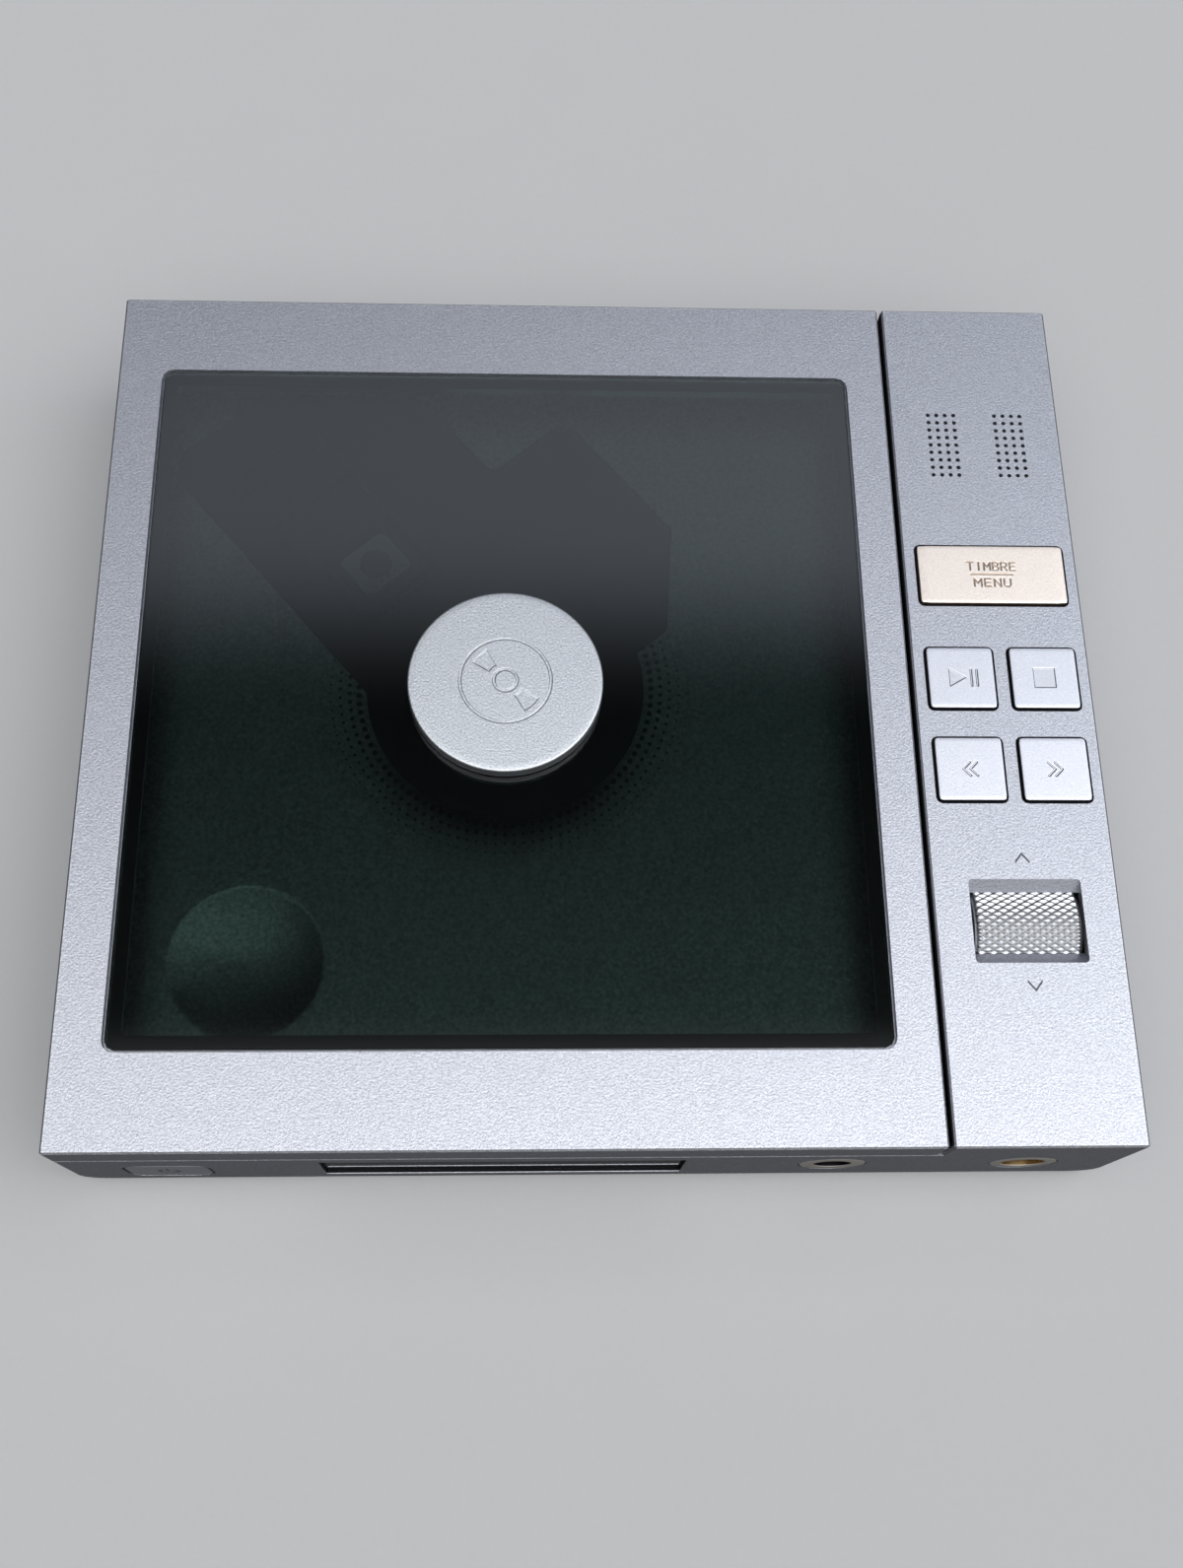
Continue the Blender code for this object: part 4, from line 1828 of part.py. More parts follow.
def make_line_out():
    """Line-out socket with a round nose through the rear wall."""
    half = LINE_OUT_HALF_WIDTH
    level = ON_BOARD + half
    body_rear = BODY_DEPTH - END_WALL - CLEARANCE
    low = at(LINE_OUT_X - half, body_rear - LINE_OUT_LENGTH, ON_BOARD)
    socket = box("line_out_socket", low, at(LINE_OUT_X + half, body_rear, ON_BOARD + 2 * half))
    place = at(LINE_OUT_X, 0, level)
    start = body_rear - BODY_DEPTH / 2
    nose = circle(LINE_OUT_NOSE_RADIUS, ROUND_TURN, (place.x, place.z))
    fuse(socket, prism_along_y("line_out_nose", nose, start - CLEARANCE, BODY_DEPTH / 2, True))
    bore = circle(SMALL_SOCKET_BORE_RADIUS, ROUND_TURN, (place.x, place.z))
    bore_end = start - LINE_OUT_LENGTH + SOCKET_END_WALL
    cut(socket, prism_along_y("line_out_bore", bore, bore_end, BODY_DEPTH / 2 + OVERRUN, True))
    return socket


# Board and battery


def board_edges():
    """Board limits: left, front, right, rear, and the left edge of its rear arm."""
    left = SPINDLE[0] + BOARD_PAST_SPINDLE
    right = BODY_WIDTH - SIDE_WALL - BOARD_MARGIN
    return left, BOARD_FROM_END, right, BODY_DEPTH - BOARD_FROM_END, SPINDLE[0] + BOARD_ARM_FROM_SPINDLE


def make_main_board():
    """L-shaped main board along the front and the right side, with its chips and capacitors."""
    left, front, right, rear, corner = board_edges()
    step = front + BOARD_FRONT_DEPTH
    shape = [(left, front), (right, front), (right, rear), (corner, rear), (corner, step), (left, step)]
    outline = rounded([(*at(x, y, 0)[:2], SLED_EDGE_RADIUS) for x, y in shape])
    board = slab("main_board", [outline], BOARD_UNDERSIDE, BOARD_TOP)
    fuse(board, *board_components(corner, front, right - corner, rear - front))
    return board


def board_components(left, front, wide, deep):
    """Chips and capacitors soldered along the board's rear arm."""
    root = BOARD_TOP - CLEARANCE
    pieces = []
    for x_share, y_share, wide_share, deep_share in CHIP_SHARES:
        low = at(left + wide * x_share, front + deep * y_share, root)
        high = low + Vector((wide * wide_share, deep * deep_share, CHIP_HEIGHT + CLEARANCE))
        pieces.append(box("chip", low, high, True))
    for x_share, y_share in CAPACITOR_SHARES:
        can = rod("capacitor", CAPACITOR_RADIUS, root, BOARD_TOP + CAPACITOR_HEIGHT, helper=True)
        can.location = at(left + wide * x_share, front + deep * y_share, 0)
        pieces.append(can)
    return pieces


def make_battery():
    """Flat battery in front of the mechanism."""
    outline = bounds(
        BATTERY_FROM_LEFT - BODY_WIDTH / 2,
        BATTERY_FROM_FRONT - BODY_DEPTH / 2,
        BATTERY_RIGHT - BODY_WIDTH / 2,
        BATTERY_REAR - BODY_DEPTH / 2,
        BATTERY_EDGE_RADIUS,
    )
    battery = slab("battery", [outline], COVER_TOP + CLEARANCE, BATTERY_TOP)
    chamfer(battery, EDGE_CHAMFER)
    return battery


def main():
    """Builds every piece, gives it its finish and hangs it on its joint's axis."""
    clear_scene()
    mechanism = empty("mechanism_axis", at(*SPINDLE, 0), SLED_ANGLE)

    housing = make_housing()
    cover = make_bottom_cover()
    feet = make_feet()
    deck = make_deck(mechanism)
    plate = make_mechanism_cover(mechanism)
    chassis = make_chassis(mechanism)
    dampers = make_dampers(mechanism)
    rods = [make_guide_rod("guide_rod_left", ROD_LEFT, mechanism)]
    rods.append(make_guide_rod("guide_rod_right", -ROD_RIGHT, mechanism))
    motor = make_spindle_motor()
    shaft = make_spindle_shaft()
    hub = make_spindle_hub()
    catches = make_disc_catches()
    pad = make_hub_pad()
    hub_magnet = make_hub_magnet()
    feed_motor = make_feed_motor(mechanism)
    feed_screw = make_feed_screw(mechanism)
    sled = make_sled(mechanism)
    holder = make_lens_holder(mechanism)
    lens = make_lens(mechanism)
    frame = make_lid_frame()
    glass = make_lid_glass()
    puck = make_puck()
    retainer = make_puck_retainer()
    clamp = make_clamp()
    lid_magnet_low = LID_BOTTOM + CLEARANCE
    lid_magnet = make_magnet("lid_magnet", lid_magnet_low, lid_magnet_low + LID_MAGNET_THICKNESS)
    body_magnet_top = RIM_UNDERSIDE - CLEARANCE
    body_magnet = make_magnet("body_magnet", body_magnet_top - BODY_MAGNET_THICKNESS, body_magnet_top)
    blocks = [make_hinge_block(side, x) for side, x in hinge_places()]
    pins = [make_hinge_pin(side, x) for side, x in hinge_places()]
    keys = make_column_keys()
    key_board = make_key_board()
    screen = make_grille_screen()
    wheel = make_volume_wheel()
    bracket = make_wheel_bracket()
    encoder = make_wheel_encoder()
    pane = make_display_pane()
    module = make_display_module()
    power_key = make_power_key()
    power_switch = make_power_switch()
    rings = [make_socket_ring("small_socket_ring", SMALL_SOCKET_X, SMALL_SOCKET_MOUTH_RADIUS)]
    rings.append(make_socket_ring("large_socket_ring", LARGE_SOCKET_X, LARGE_SOCKET_MOUTH_RADIUS))
    small = (SMALL_SOCKET_X, SMALL_SOCKET_HALF_WIDTH, SMALL_SOCKET_BORE_RADIUS, SMALL_SOCKET_LENGTH)
    large = (LARGE_SOCKET_X, LARGE_SOCKET_HALF_WIDTH, LARGE_SOCKET_BORE_RADIUS, LARGE_SOCKET_LENGTH)
    sockets = [make_socket_body("small_socket", *small), make_socket_body("large_socket", *large)]
    port = make_charging_port()
    line_out = make_line_out()
    board = make_main_board()
    battery = make_battery()

    lid_axis = empty("lid_axis", at(LID_WIDTH / 2, HINGE_Y, HINGE_Z))
    hang([frame, glass, puck, retainer, clamp, lid_magnet], lid_axis)

    menu = keys.pop("menu_key")
    finish("silver", (0.62, 0.63, 0.68), 0.45, 1, [housing, frame, puck, *keys.values(), power_key, deck])
    finish("champagne", (0.80, 0.62, 0.48), 0.35, 1, [menu])
    finish("bright_steel", (0.70, 0.71, 0.73), 0.22, 1, [wheel, *rods, shaft, feed_screw, *catches])
    finish("brass", (0.80, 0.62, 0.33), 0.3, 1, rings)
    finish("dark_metal", (0.20, 0.20, 0.22), 0.4, 1, [cover, motor, feed_motor, *blocks, clamp, retainer])
    finish("plain_steel", (0.50, 0.50, 0.52), 0.35, 1, [*pins, port])
    finish("magnet", (0.45, 0.45, 0.47), 0.3, 1, [hub_magnet, lid_magnet, body_magnet])
    finish("smoked_glass", (0.03, 0.05, 0.05), 0.05, 0, [glass, pane])
    finish("lens_glass", (0.35, 0.40, 0.60), 0.03, 0, [lens])
    finish("black_plastic", (0.02, 0.02, 0.025), 0.5, 0, [plate, chassis, sled, holder, module, hub])
    finish("socket_plastic", (0.03, 0.03, 0.03), 0.45, 0, [*sockets, line_out, encoder, bracket, power_switch])
    finish("rubber", (0.02, 0.02, 0.02), 0.8, 0, [*feet, *dampers, pad, screen])
    finish("board_green", (0.02, 0.16, 0.08), 0.5, 0, [board, key_board])
    finish("component_black", (0.04, 0.04, 0.05), 0.5, 0, [battery])


main()
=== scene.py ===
"""Dresses the flat disc player: finishes for its CAD nodes and fine pieces over or in place of them.

The model is in metres, +Z up, the front faces -Y, the origin is on the floor under the middle of the body.
Every new piece is a surface worked out with numpy in the same frame, but in millimetres until it is made.
"""

from __future__ import annotations

import logging
import math
from dataclasses import dataclass
from enum import Enum
from functools import cache, reduce
from typing import Callable, Sequence

import bmesh
import bpy
import numpy as np
from mathutils import Matrix, Vector
from mathutils.geometry import tessellate_polygon


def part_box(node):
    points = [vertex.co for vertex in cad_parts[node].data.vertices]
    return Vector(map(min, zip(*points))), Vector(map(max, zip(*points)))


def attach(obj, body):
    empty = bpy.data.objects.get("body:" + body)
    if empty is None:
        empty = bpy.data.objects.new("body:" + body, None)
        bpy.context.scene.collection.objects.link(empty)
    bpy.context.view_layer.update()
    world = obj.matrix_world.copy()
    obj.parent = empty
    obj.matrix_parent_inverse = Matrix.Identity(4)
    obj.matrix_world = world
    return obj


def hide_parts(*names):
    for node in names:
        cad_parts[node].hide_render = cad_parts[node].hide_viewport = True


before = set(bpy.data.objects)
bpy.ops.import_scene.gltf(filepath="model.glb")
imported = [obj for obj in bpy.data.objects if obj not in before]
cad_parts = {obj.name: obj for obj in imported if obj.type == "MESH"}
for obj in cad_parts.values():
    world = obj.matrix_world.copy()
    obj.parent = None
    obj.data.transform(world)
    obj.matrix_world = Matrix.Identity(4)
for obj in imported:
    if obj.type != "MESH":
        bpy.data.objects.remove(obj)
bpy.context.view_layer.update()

MM = 0.001
TURN = 2 * math.pi
WELD = 1e-4
SHARP = math.radians(32)
GRAIN_HEIGHT = 0.05 * MM
QUARTERS = ((-1, -1), (1, -1), (1, 1), (-1, 1))
log = logging.getLogger("disc_player")

Colour = tuple[float, float, float]
Socket = bpy.types.NodeSocket
Material = bpy.types.Material
Inputs = dict[str | int, object]
Relief = Callable[[np.ndarray, np.ndarray], np.ndarray]


class Body(Enum):
    """Rigid bodies that a piece can ride on."""

    PLAYER = "player_body"
    LID = "lid"
    CLAMP = "clamp"
    SPINDLE = "spindle"
    LENS = "lens"
    WHEEL = "wheel"
    POWER = "power_key_body"


class Box:
    """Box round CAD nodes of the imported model, in millimetres."""

    def __init__(self, *nodes: str) -> None:
        """Takes the box from the model.

        Args:
            nodes: Names of the nodes.
        """
        corners = np.array([[tuple(corner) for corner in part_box(node)] for node in nodes]) / MM
        self.low, self.high = corners[:, 0].min(axis=0), corners[:, 1].max(axis=0)
        self.centre, self.size = (self.low + self.high) / 2, self.high - self.low
        self.bottom, self.top = self.low[2], self.high[2]
        self.radius = self.size[0] / 2
        self.foot = self.centre * (1, 1, 0)


# Surfaces


@dataclass
class Shape:
    """Points and faces of one surface."""

    points: np.ndarray
    faces: list[Sequence[int]]

    def moved(self, offset: Sequence[float]) -> Shape:
        """The same surface, carried by an offset."""
        return Shape(self.points + np.array(offset, float), self.faces)

    def upright(self) -> Shape:
        """The same surface, its top turned to the front: (x, y, z) goes to (x, -z, y)."""
        return Shape(self.points[:, [0, 2, 1]] * (1, -1, 1), self.faces)


def joined(shapes: Sequence[Shape]) -> Shape:
    """Puts several surfaces into one.

    Args:
        shapes: The surfaces.

    Returns:
        One surface that holds them all, face numbers shifted.
    """
    starts = np.cumsum([0] + [len(shape.points) for shape in shapes]).tolist()
    faces = [tuple(i + start for i in face) for start, shape in zip(starts, shapes) for face in shape.faces]
    return Shape(np.concatenate([shape.points for shape in shapes]), faces)


def grid(points: np.ndarray, wrap_u: bool = False, wrap_v: bool = False) -> Shape:
    """Surface over two parameters: face (i, j) joins points i, i + 1 and j, j + 1.

    Args:
        points: Array of shape (nu, nv, 3).
        wrap_u: The first parameter runs round.
        wrap_v: The second parameter runs round.

    Returns:
        The surface in quads.
    """
    nu, nv = points.shape[:2]
    i, j = np.meshgrid(np.arange(nu - (not wrap_u)), np.arange(nv - (not wrap_v)), indexing="ij")
    after_i, after_j = (i + 1) % nu, (j + 1) % nv
    quads = np.stack([i * nv + j, after_i * nv + j, after_i * nv + after_j, i * nv + after_j], axis=-1)
    return Shape(points.reshape(-1, 3), quads.reshape(-1, 4).tolist())


def full_turn(steps: int) -> np.ndarray:
    """Even steps of one whole turn."""
    return np.linspace(0, TURN, steps, endpoint=False)


def rays(turn: np.ndarray) -> np.ndarray:
    """Direction (cos t, sin t) of each turn t."""
    return np.stack([np.cos(turn), np.sin(turn)], axis=-1)


def spun(radii: np.ndarray, heights: np.ndarray, ring: bool = False) -> Shape:
    """Net over turn and section: point (r, z) at turn t goes to (r cos t, r sin t, z).

    Args:
        radii: Radius of each point, of shape (steps, n).
        heights: Height of each point.
        ring: The section closes on itself.

    Returns:
        The turned surface.
    """
    flat = radii[..., None] * rays(full_turn(len(radii)))[:, None]
    return grid(np.concatenate([flat, heights[..., None]], axis=-1), wrap_u=True, wrap_v=ring)


def lathe(profile: Sequence[Sequence[float]], steps: int = 128, ring: bool = False) -> Shape:
    """Profile of points (r, z), or of corners (r, z, easing radius), turned about Z.

    Args:
        profile: Points or corners.
        steps: Points round the turn.
        ring: The profile closes on itself.

    Returns:
        The turned surface.
    """
    outline = np.array(profile, float)
    if outline.shape[1] > 2:
        outline = eased(profile, closed=ring)
    radii, heights = (np.tile(column, (steps, 1)) for column in outline.T)
    return spun(radii, heights, ring)


def eased(corners: Sequence[Sequence[float]], closed: bool = True, steps: int = 5) -> np.ndarray:
    """Outline through corners (x, y, radius): each corner becomes an arc that touches both its sides.

    Args:
        corners: Corner places with their radii.
        closed: The outline closes on itself.
        steps: Pieces in each arc.

    Returns:
        Array of outline points.
    """
    places = np.array(corners, float)[:, :2]
    points = []
    for index, (here, (*_, radius)) in enumerate(zip(places, corners)):
        if radius == 0 or (not closed and index in (0, len(corners) - 1)):
            points.append(here[None, :])
            continue
        sides = places[index - 1] - here, places[(index + 1) % len(places)] - here
        back, ahead = (side / np.linalg.norm(side) for side in sides)
        half = math.acos(np.clip(back @ ahead, -1, 1)) / 2
        inward = (back + ahead) / np.linalg.norm(back + ahead) * radius / math.sin(half)
        start, end = (side * radius / math.tan(half) - inward for side in (back, ahead))
        first = math.atan2(start[1], start[0])
        sweep = (math.atan2(end[1], end[0]) - first + math.pi) % TURN - math.pi
        points.append(here + inward + radius * rays(first + sweep * np.linspace(0, 1, steps + 1)))
    return np.concatenate(points)


def rectangle(width: float, depth: float, radius: float) -> np.ndarray:
    """Outline of a rectangle with rounded corners, counter-clockwise round the origin."""
    return eased([(sx * width / 2, sy * depth / 2, radius) for sx, sy in QUARTERS], steps=10)


def circle(radius: float, steps: int, centre: Sequence[float] = (0, 0), first: float = 0) -> np.ndarray:
    """Outline of a circle: centre + radius (cos t, sin t)."""
    return np.array(centre, float) + radius * rays(first + full_turn(steps))


def ring_at(outline: np.ndarray, height: float) -> np.ndarray:
    """Outline lifted to a height."""
    return np.column_stack([outline, np.full(len(outline), height)])


def filling(outlines: Sequence[np.ndarray]) -> list[Sequence[int]]:
    """Triangles of the area inside the first outline and outside the others."""
    loops = [[Vector((x, y, 0)) for x, y in outline.tolist()] for outline in outlines]
    return [tuple(triangle) for triangle in tessellate_polygon(loops)]


def slab(outlines: Sequence[np.ndarray], bottom: float, top: float) -> Shape:
    """Flat plate between two heights: both faces filled, a wall along each outline.

    Args:
        outlines: Outlines in the XY plane: the rim, then the holes.
        bottom: Lower height.
        top: Upper height.

    Returns:
        The closed plate.
    """
    flat = np.concatenate(outlines)
    count = len(flat)
    low = filling(outlines)
    faces = low + [tuple(i + count for i in triangle) for triangle in low]
    start = 0
    for outline in outlines:
        here = start + np.arange(len(outline))
        after = np.roll(here, -1)
        faces += np.stack([here, after, after + count, here + count], axis=-1).tolist()
        start += len(outline)
    return Shape(np.concatenate([ring_at(flat, bottom), ring_at(flat, top)]), faces)


def loft(rings: Sequence[np.ndarray], open_start: bool = False) -> Shape:
    """Rings of equally many points, joined one to the next, with a flat face over each end.

    Args:
        rings: Arrays of shape (n, 3).
        open_start: Leave the first ring open.

    Returns:
        The surface.
    """
    count, stride = len(rings[0]), len(rings)
    shape = grid(np.stack(rings, axis=1), wrap_u=True)
    for end in (stride - 1,) if open_start else (0, stride - 1):
        shape.faces.append(tuple(i * stride + end for i in range(count)))
    return shape


# Signs as signed distances, negative inside


def line_distance(points: Sequence[Sequence[float]], x: np.ndarray, y: np.ndarray) -> np.ndarray:
    """Distance to a bent line.

    Args:
        points: Ends of its straight stretches, in order.
        x: First coordinate of the places.
        y: Second coordinate of the places.

    Returns:
        Distance of each place to the nearest stretch.
    """
    nearest = np.full(np.broadcast(x, y).shape, np.inf)
    for (x0, y0), (x1, y1) in zip(points, points[1:]):
        dx, dy = x1 - x0, y1 - y0
        share = np.clip(((x - x0) * dx + (y - y0) * dy) / (dx * dx + dy * dy), 0, 1)
        nearest = np.minimum(nearest, np.hypot(x - x0 - share * dx, y - y0 - share * dy))
    return nearest


def area_distance(points: Sequence[Sequence[float]], x: np.ndarray, y: np.ndarray) -> np.ndarray:
    """Signed distance to a convex area.

    Args:
        points: Its corners, counter-clockwise.
        x: First coordinate of the places.
        y: Second coordinate of the places.

    Returns:
        Greatest distance of each place outside any of its sides.
    """
    parts = []
    for (x0, y0), (x1, y1) in zip(points, [*points[1:], points[0]]):
        parts.append(((x - x0) * (y1 - y0) - (y - y0) * (x1 - x0)) / math.hypot(x1 - x0, y1 - y0))
    return np.max(parts, axis=0)


def along(points: Sequence[Sequence[float]], width: float) -> Relief:
    """Line of a given width through points."""
    return lambda x, y: line_distance(points, x, y) - width / 2


def filled(points: Sequence[Sequence[float]]) -> Relief:
    """Convex area with counter-clockwise corners."""
    return lambda x, y: area_distance(points, x, y)


def any_of(signs: Sequence[Relief]) -> Relief:
    """Joins signs: the nearest one counts."""
    return lambda x, y: np.min(np.broadcast_arrays(*[sign(x, y) for sign in signs]), axis=0)


def shifted(sign: Relief, dx: float, dy: float) -> Relief:
    """Sign moved across its face."""
    return lambda x, y: sign(x - dx, y - dy)


def engraved(sign: Relief, wall: float, x: np.ndarray, y: np.ndarray) -> tuple[np.ndarray, np.ndarray]:
    """Engraving of a sign.

    Args:
        sign: Distance to the sign's edge.
        wall: Width of the slope between face and floor.
        x: First coordinate of the places.
        y: Second coordinate of the places.

    Returns:
        Share of the full depth at each place, and a value that is 1 half way down the wall and 0 off it.
    """
    share = np.clip(0.5 - sign(x, y) / wall, 0, 1)
    return share, 4 * share * (1 - share)


# Nodes


@dataclass
class Sheet:
    """Node tree with short calls for adding and joining nodes."""

    tree: bpy.types.NodeTree

    def add(self, kind: str, inputs: Inputs | None = None, **settings: object) -> bpy.types.Node:
        """Adds a node, sets its properties and feeds its inputs.

        Args:
            kind: Type of the node, without its first word.
            inputs: What its inputs get.
            settings: Its properties.

        Returns:
            The node.
        """
        node = self.tree.nodes.new(f"ShaderNode{kind}")
        for name, value in settings.items():
            setattr(node, name, value)
        self.feed(node, inputs or {})
        return node

    def feed(self, node: bpy.types.Node, inputs: Inputs) -> None:
        """Feeds a node's inputs, each from another socket or with a plain value.

        Args:
            node: The node.
            inputs: Socket or value for the name or number of each input.
        """
        for key, source in inputs.items():
            if isinstance(source, Socket):
                self.tree.links.new(source, node.inputs[key])
            else:
                node.inputs[key].default_value = source

    def place(self) -> Socket:
        """Place in the object's own coordinates, in metres."""
        return self.add("TexCoord").outputs["Object"]

    def axes(self, vector: Socket) -> Sequence[Socket]:
        """X, Y and Z of a vector."""
        return self.add("SeparateXYZ", {0: vector}).outputs[:3]

    def maths(self, operation: str, *values: object, clamp: bool = False) -> Socket:
        """Value of an operation on one socket or number, or on two."""
        return self.add("Math", dict(enumerate(values)), operation=operation, use_clamp=clamp).outputs[0]

    def fold(self, operation: str, *values: object) -> Socket:
        """Value of an operation on the first two sockets or numbers, then on that and the next, and so on."""
        return reduce(lambda total, value: self.maths(operation, total, value), values)

    def vectors(self, operation: str, *values: Socket) -> Socket:
        """Value of an operation on vectors."""
        return self.add("VectorMath", dict(enumerate(values)), operation=operation).outputs[0]

    def dimmed(self, colour: object, factor: object) -> Socket:
        """Colour times a factor."""
        return self.add("VectorMath", {0: colour, "Scale": factor}, operation="SCALE").outputs[0]

    def mixed(self, share: object, first: object, second: object) -> Socket:
        """Blend of two colours."""
        return self.add("Mix", {0: share, 6: first, 7: second}, data_type="RGBA").outputs[2]

    def noise(self, place: Socket, scale: object, detail: float, rough: float) -> Socket:
        """Soft noise of a given count per metre."""
        inputs = {"Vector": place, "Scale": scale, "Detail": detail, "Roughness": rough}
        return self.add("TexNoise", inputs).outputs["Fac"]

    def ramp(self, value: object, low: float, high: float, to_low: float, to_high: float) -> Socket:
        """Smooth step of a value from one range to another."""
        inputs = {"Value": value, "From Min": low, "From Max": high, "To Min": to_low, "To Max": to_high}
        return self.add("MapRange", inputs, interpolation_type="SMOOTHSTEP").outputs[0]

    def bump(self, height: Socket, strength: object) -> Socket:
        """Normal of a surface raised by a height of at most the grain's own."""
        inputs = {"Strength": strength, "Distance": GRAIN_HEIGHT, "Height": height}
        return self.add("Bump", inputs).outputs["Normal"]

    def seen(self, most: float) -> Socket:
        """Mask of the rays that come from the camera straight or only through glass.

        Args:
            most: Bounces other than transmissions that it stays under; the sky counts itself as one.

        Returns:
            1 on those rays and 0 on the others.
        """
        paths = self.add("LightPath").outputs
        direct = self.maths("MAXIMUM", paths["Is Camera Ray"], paths["Is Transmission Ray"])
        bounces = self.maths("SUBTRACT", paths["Ray Depth"], paths["Transmission Depth"])
        return self.maths("MULTIPLY", direct, self.maths("LESS_THAN", bounces, most))


def rgba(colour: Colour) -> tuple[float, float, float, float]:
    """Colour with full cover."""
    return (*colour, 1.0)


NUMBER = "NodeSocketFloat"
TINT = "NodeSocketColor"
VECTOR = "NodeSocketVector"


def new_group(name: str, inputs: dict[str, str], outputs: dict[str, str]) -> tuple:
    """Empty shader group.

    Args:
        name: Name of the group.
        inputs: Socket type of each input.
        outputs: Socket type of each output.

    Returns:
        The group, its sheet, the sockets that it is given and its output node.
    """
    group = bpy.data.node_groups.new(name, "ShaderNodeTree")
    for side, sockets in (("INPUT", inputs), ("OUTPUT", outputs)):
        for label, kind in sockets.items():
            group.interface.new_socket(label, in_out=side, socket_type=kind)
    given = group.nodes.new("NodeGroupInput").outputs
    return group, Sheet(group), given, group.nodes.new("NodeGroupOutput")


@cache
def grain_group() -> bpy.types.NodeTree:
    """Blasted or moulded grain: fine noise lifts the surface and speckles it, broad noise clouds it.

    Returns:
        The shader group.
    """
    numbers = ("Grains per Metre", "Speckle", "Cloud", "Roughness", "Roughness Spread", "Relief")
    outputs = {"Colour": TINT, "Roughness": NUMBER, "Normal": VECTOR}
    inputs = {"Colour": TINT} | dict.fromkeys(numbers, NUMBER)
    group, sheet, given, made = new_group("surface_grain", inputs, outputs)
    place = sheet.place()

    def swing(noise: Socket, amount: str) -> Socket:
        """Noise about its middle value, times a given amount."""
        return sheet.maths("MULTIPLY", sheet.maths("SUBTRACT", noise, 0.5), given[amount])

    fine = sheet.noise(place, given["Grains per Metre"], 3.0, 0.6)
    cloud = swing(sheet.noise(place, 55.0, 3.0, 0.55), "Cloud")
    spread = swing(sheet.noise(place, 420.0, 2.0, 0.6), "Roughness Spread")
    sheet.feed(made, {
        "Colour": sheet.dimmed(given["Colour"], sheet.fold("ADD", swing(fine, "Speckle"), cloud, 1.0)),
        "Roughness": sheet.maths("ADD", given["Roughness"], spread, clamp=True),
        "Normal": sheet.bump(fine, given["Relief"]),
    })
    return group


@cache
def wear_and_highlight_group() -> bpy.types.NodeTree:
    """Handled edges with a painted highlight: a box's own edges grow brighter where broken noise and nearness
    to the edge agree.

    The distance to an edge is the second of the three distances to the box's sides: their sum, less the
    least and the greatest.

    Returns:
        The shader group.
    """
    inputs = {"Colour": TINT, "Worn Highlight Colour": TINT, "Middle": VECTOR, "Half Size": VECTOR}
    inputs |= {"Reach": NUMBER, "Amount": NUMBER}
    group, sheet, given, made = new_group("edge_wear_and_highlight", inputs, {"Colour": TINT, "Mask": NUMBER})
    place = sheet.place()
    offset = sheet.vectors("ABSOLUTE", sheet.vectors("SUBTRACT", place, given["Middle"]))
    sides = sheet.axes(sheet.vectors("SUBTRACT", given["Half Size"], offset))
    least, most, total = (sheet.fold(operation, *sides) for operation in ("MINIMUM", "MAXIMUM", "ADD"))
    second = sheet.fold("SUBTRACT", total, least, most)
    near = sheet.maths("SUBTRACT", 1.0, sheet.maths("DIVIDE", second, given["Reach"]), clamp=True)
    broken = sheet.ramp(sheet.noise(place, 900.0, 3.0, 0.6), 0.35, 0.65, 0.35, 1.0)
    mask = sheet.maths("MULTIPLY", sheet.maths("MULTIPLY", near, broken), given["Amount"], clamp=True)
    sheet.feed(made, {"Colour": sheet.mixed(mask, given["Colour"], given["Worn Highlight Colour"]), "Mask": mask})
    return group


# Finishes


@dataclass(frozen=True)
class Finish:
    """Solid finish with a fine grain: blasted metal, moulded plastic, rubber or paint."""

    name: str
    colour: Colour
    roughness: float
    metallic: float = 0.0
    grains: float = 3600.0
    speckle: float = 0.12
    cloud: float = 0.04
    spread: float = 0.06
    relief: float = 0.25
    coat: float = 0.0

    def look(self, sheet: Sheet) -> Inputs:
        """The grain group with this finish's values.

        Args:
            sheet: Node tree of the material.

        Returns:
            What the shader's inputs get.
        """
        grain = sheet.add("Group", {
            "Colour": rgba(self.colour),
            "Grains per Metre": self.grains,
            "Speckle": self.speckle,
            "Cloud": self.cloud,
            "Roughness": self.roughness,
            "Roughness Spread": self.spread,
            "Relief": self.relief,
        }, node_tree=grain_group()).outputs
        return {"Base Color": grain["Colour"], "Roughness": grain["Roughness"], "Normal": grain["Normal"]}

    def material(self) -> Material:
        """Makes the material.

        Returns:
            The material of this finish.
        """
        material = bpy.data.materials.new(self.name)
        material.use_nodes = True
        sheet = Sheet(material.node_tree)
        constants = {"Metallic": self.metallic, "Coat Weight": self.coat}
        sheet.feed(material.node_tree.nodes["Principled BSDF"], constants | self.look(sheet))
        return material


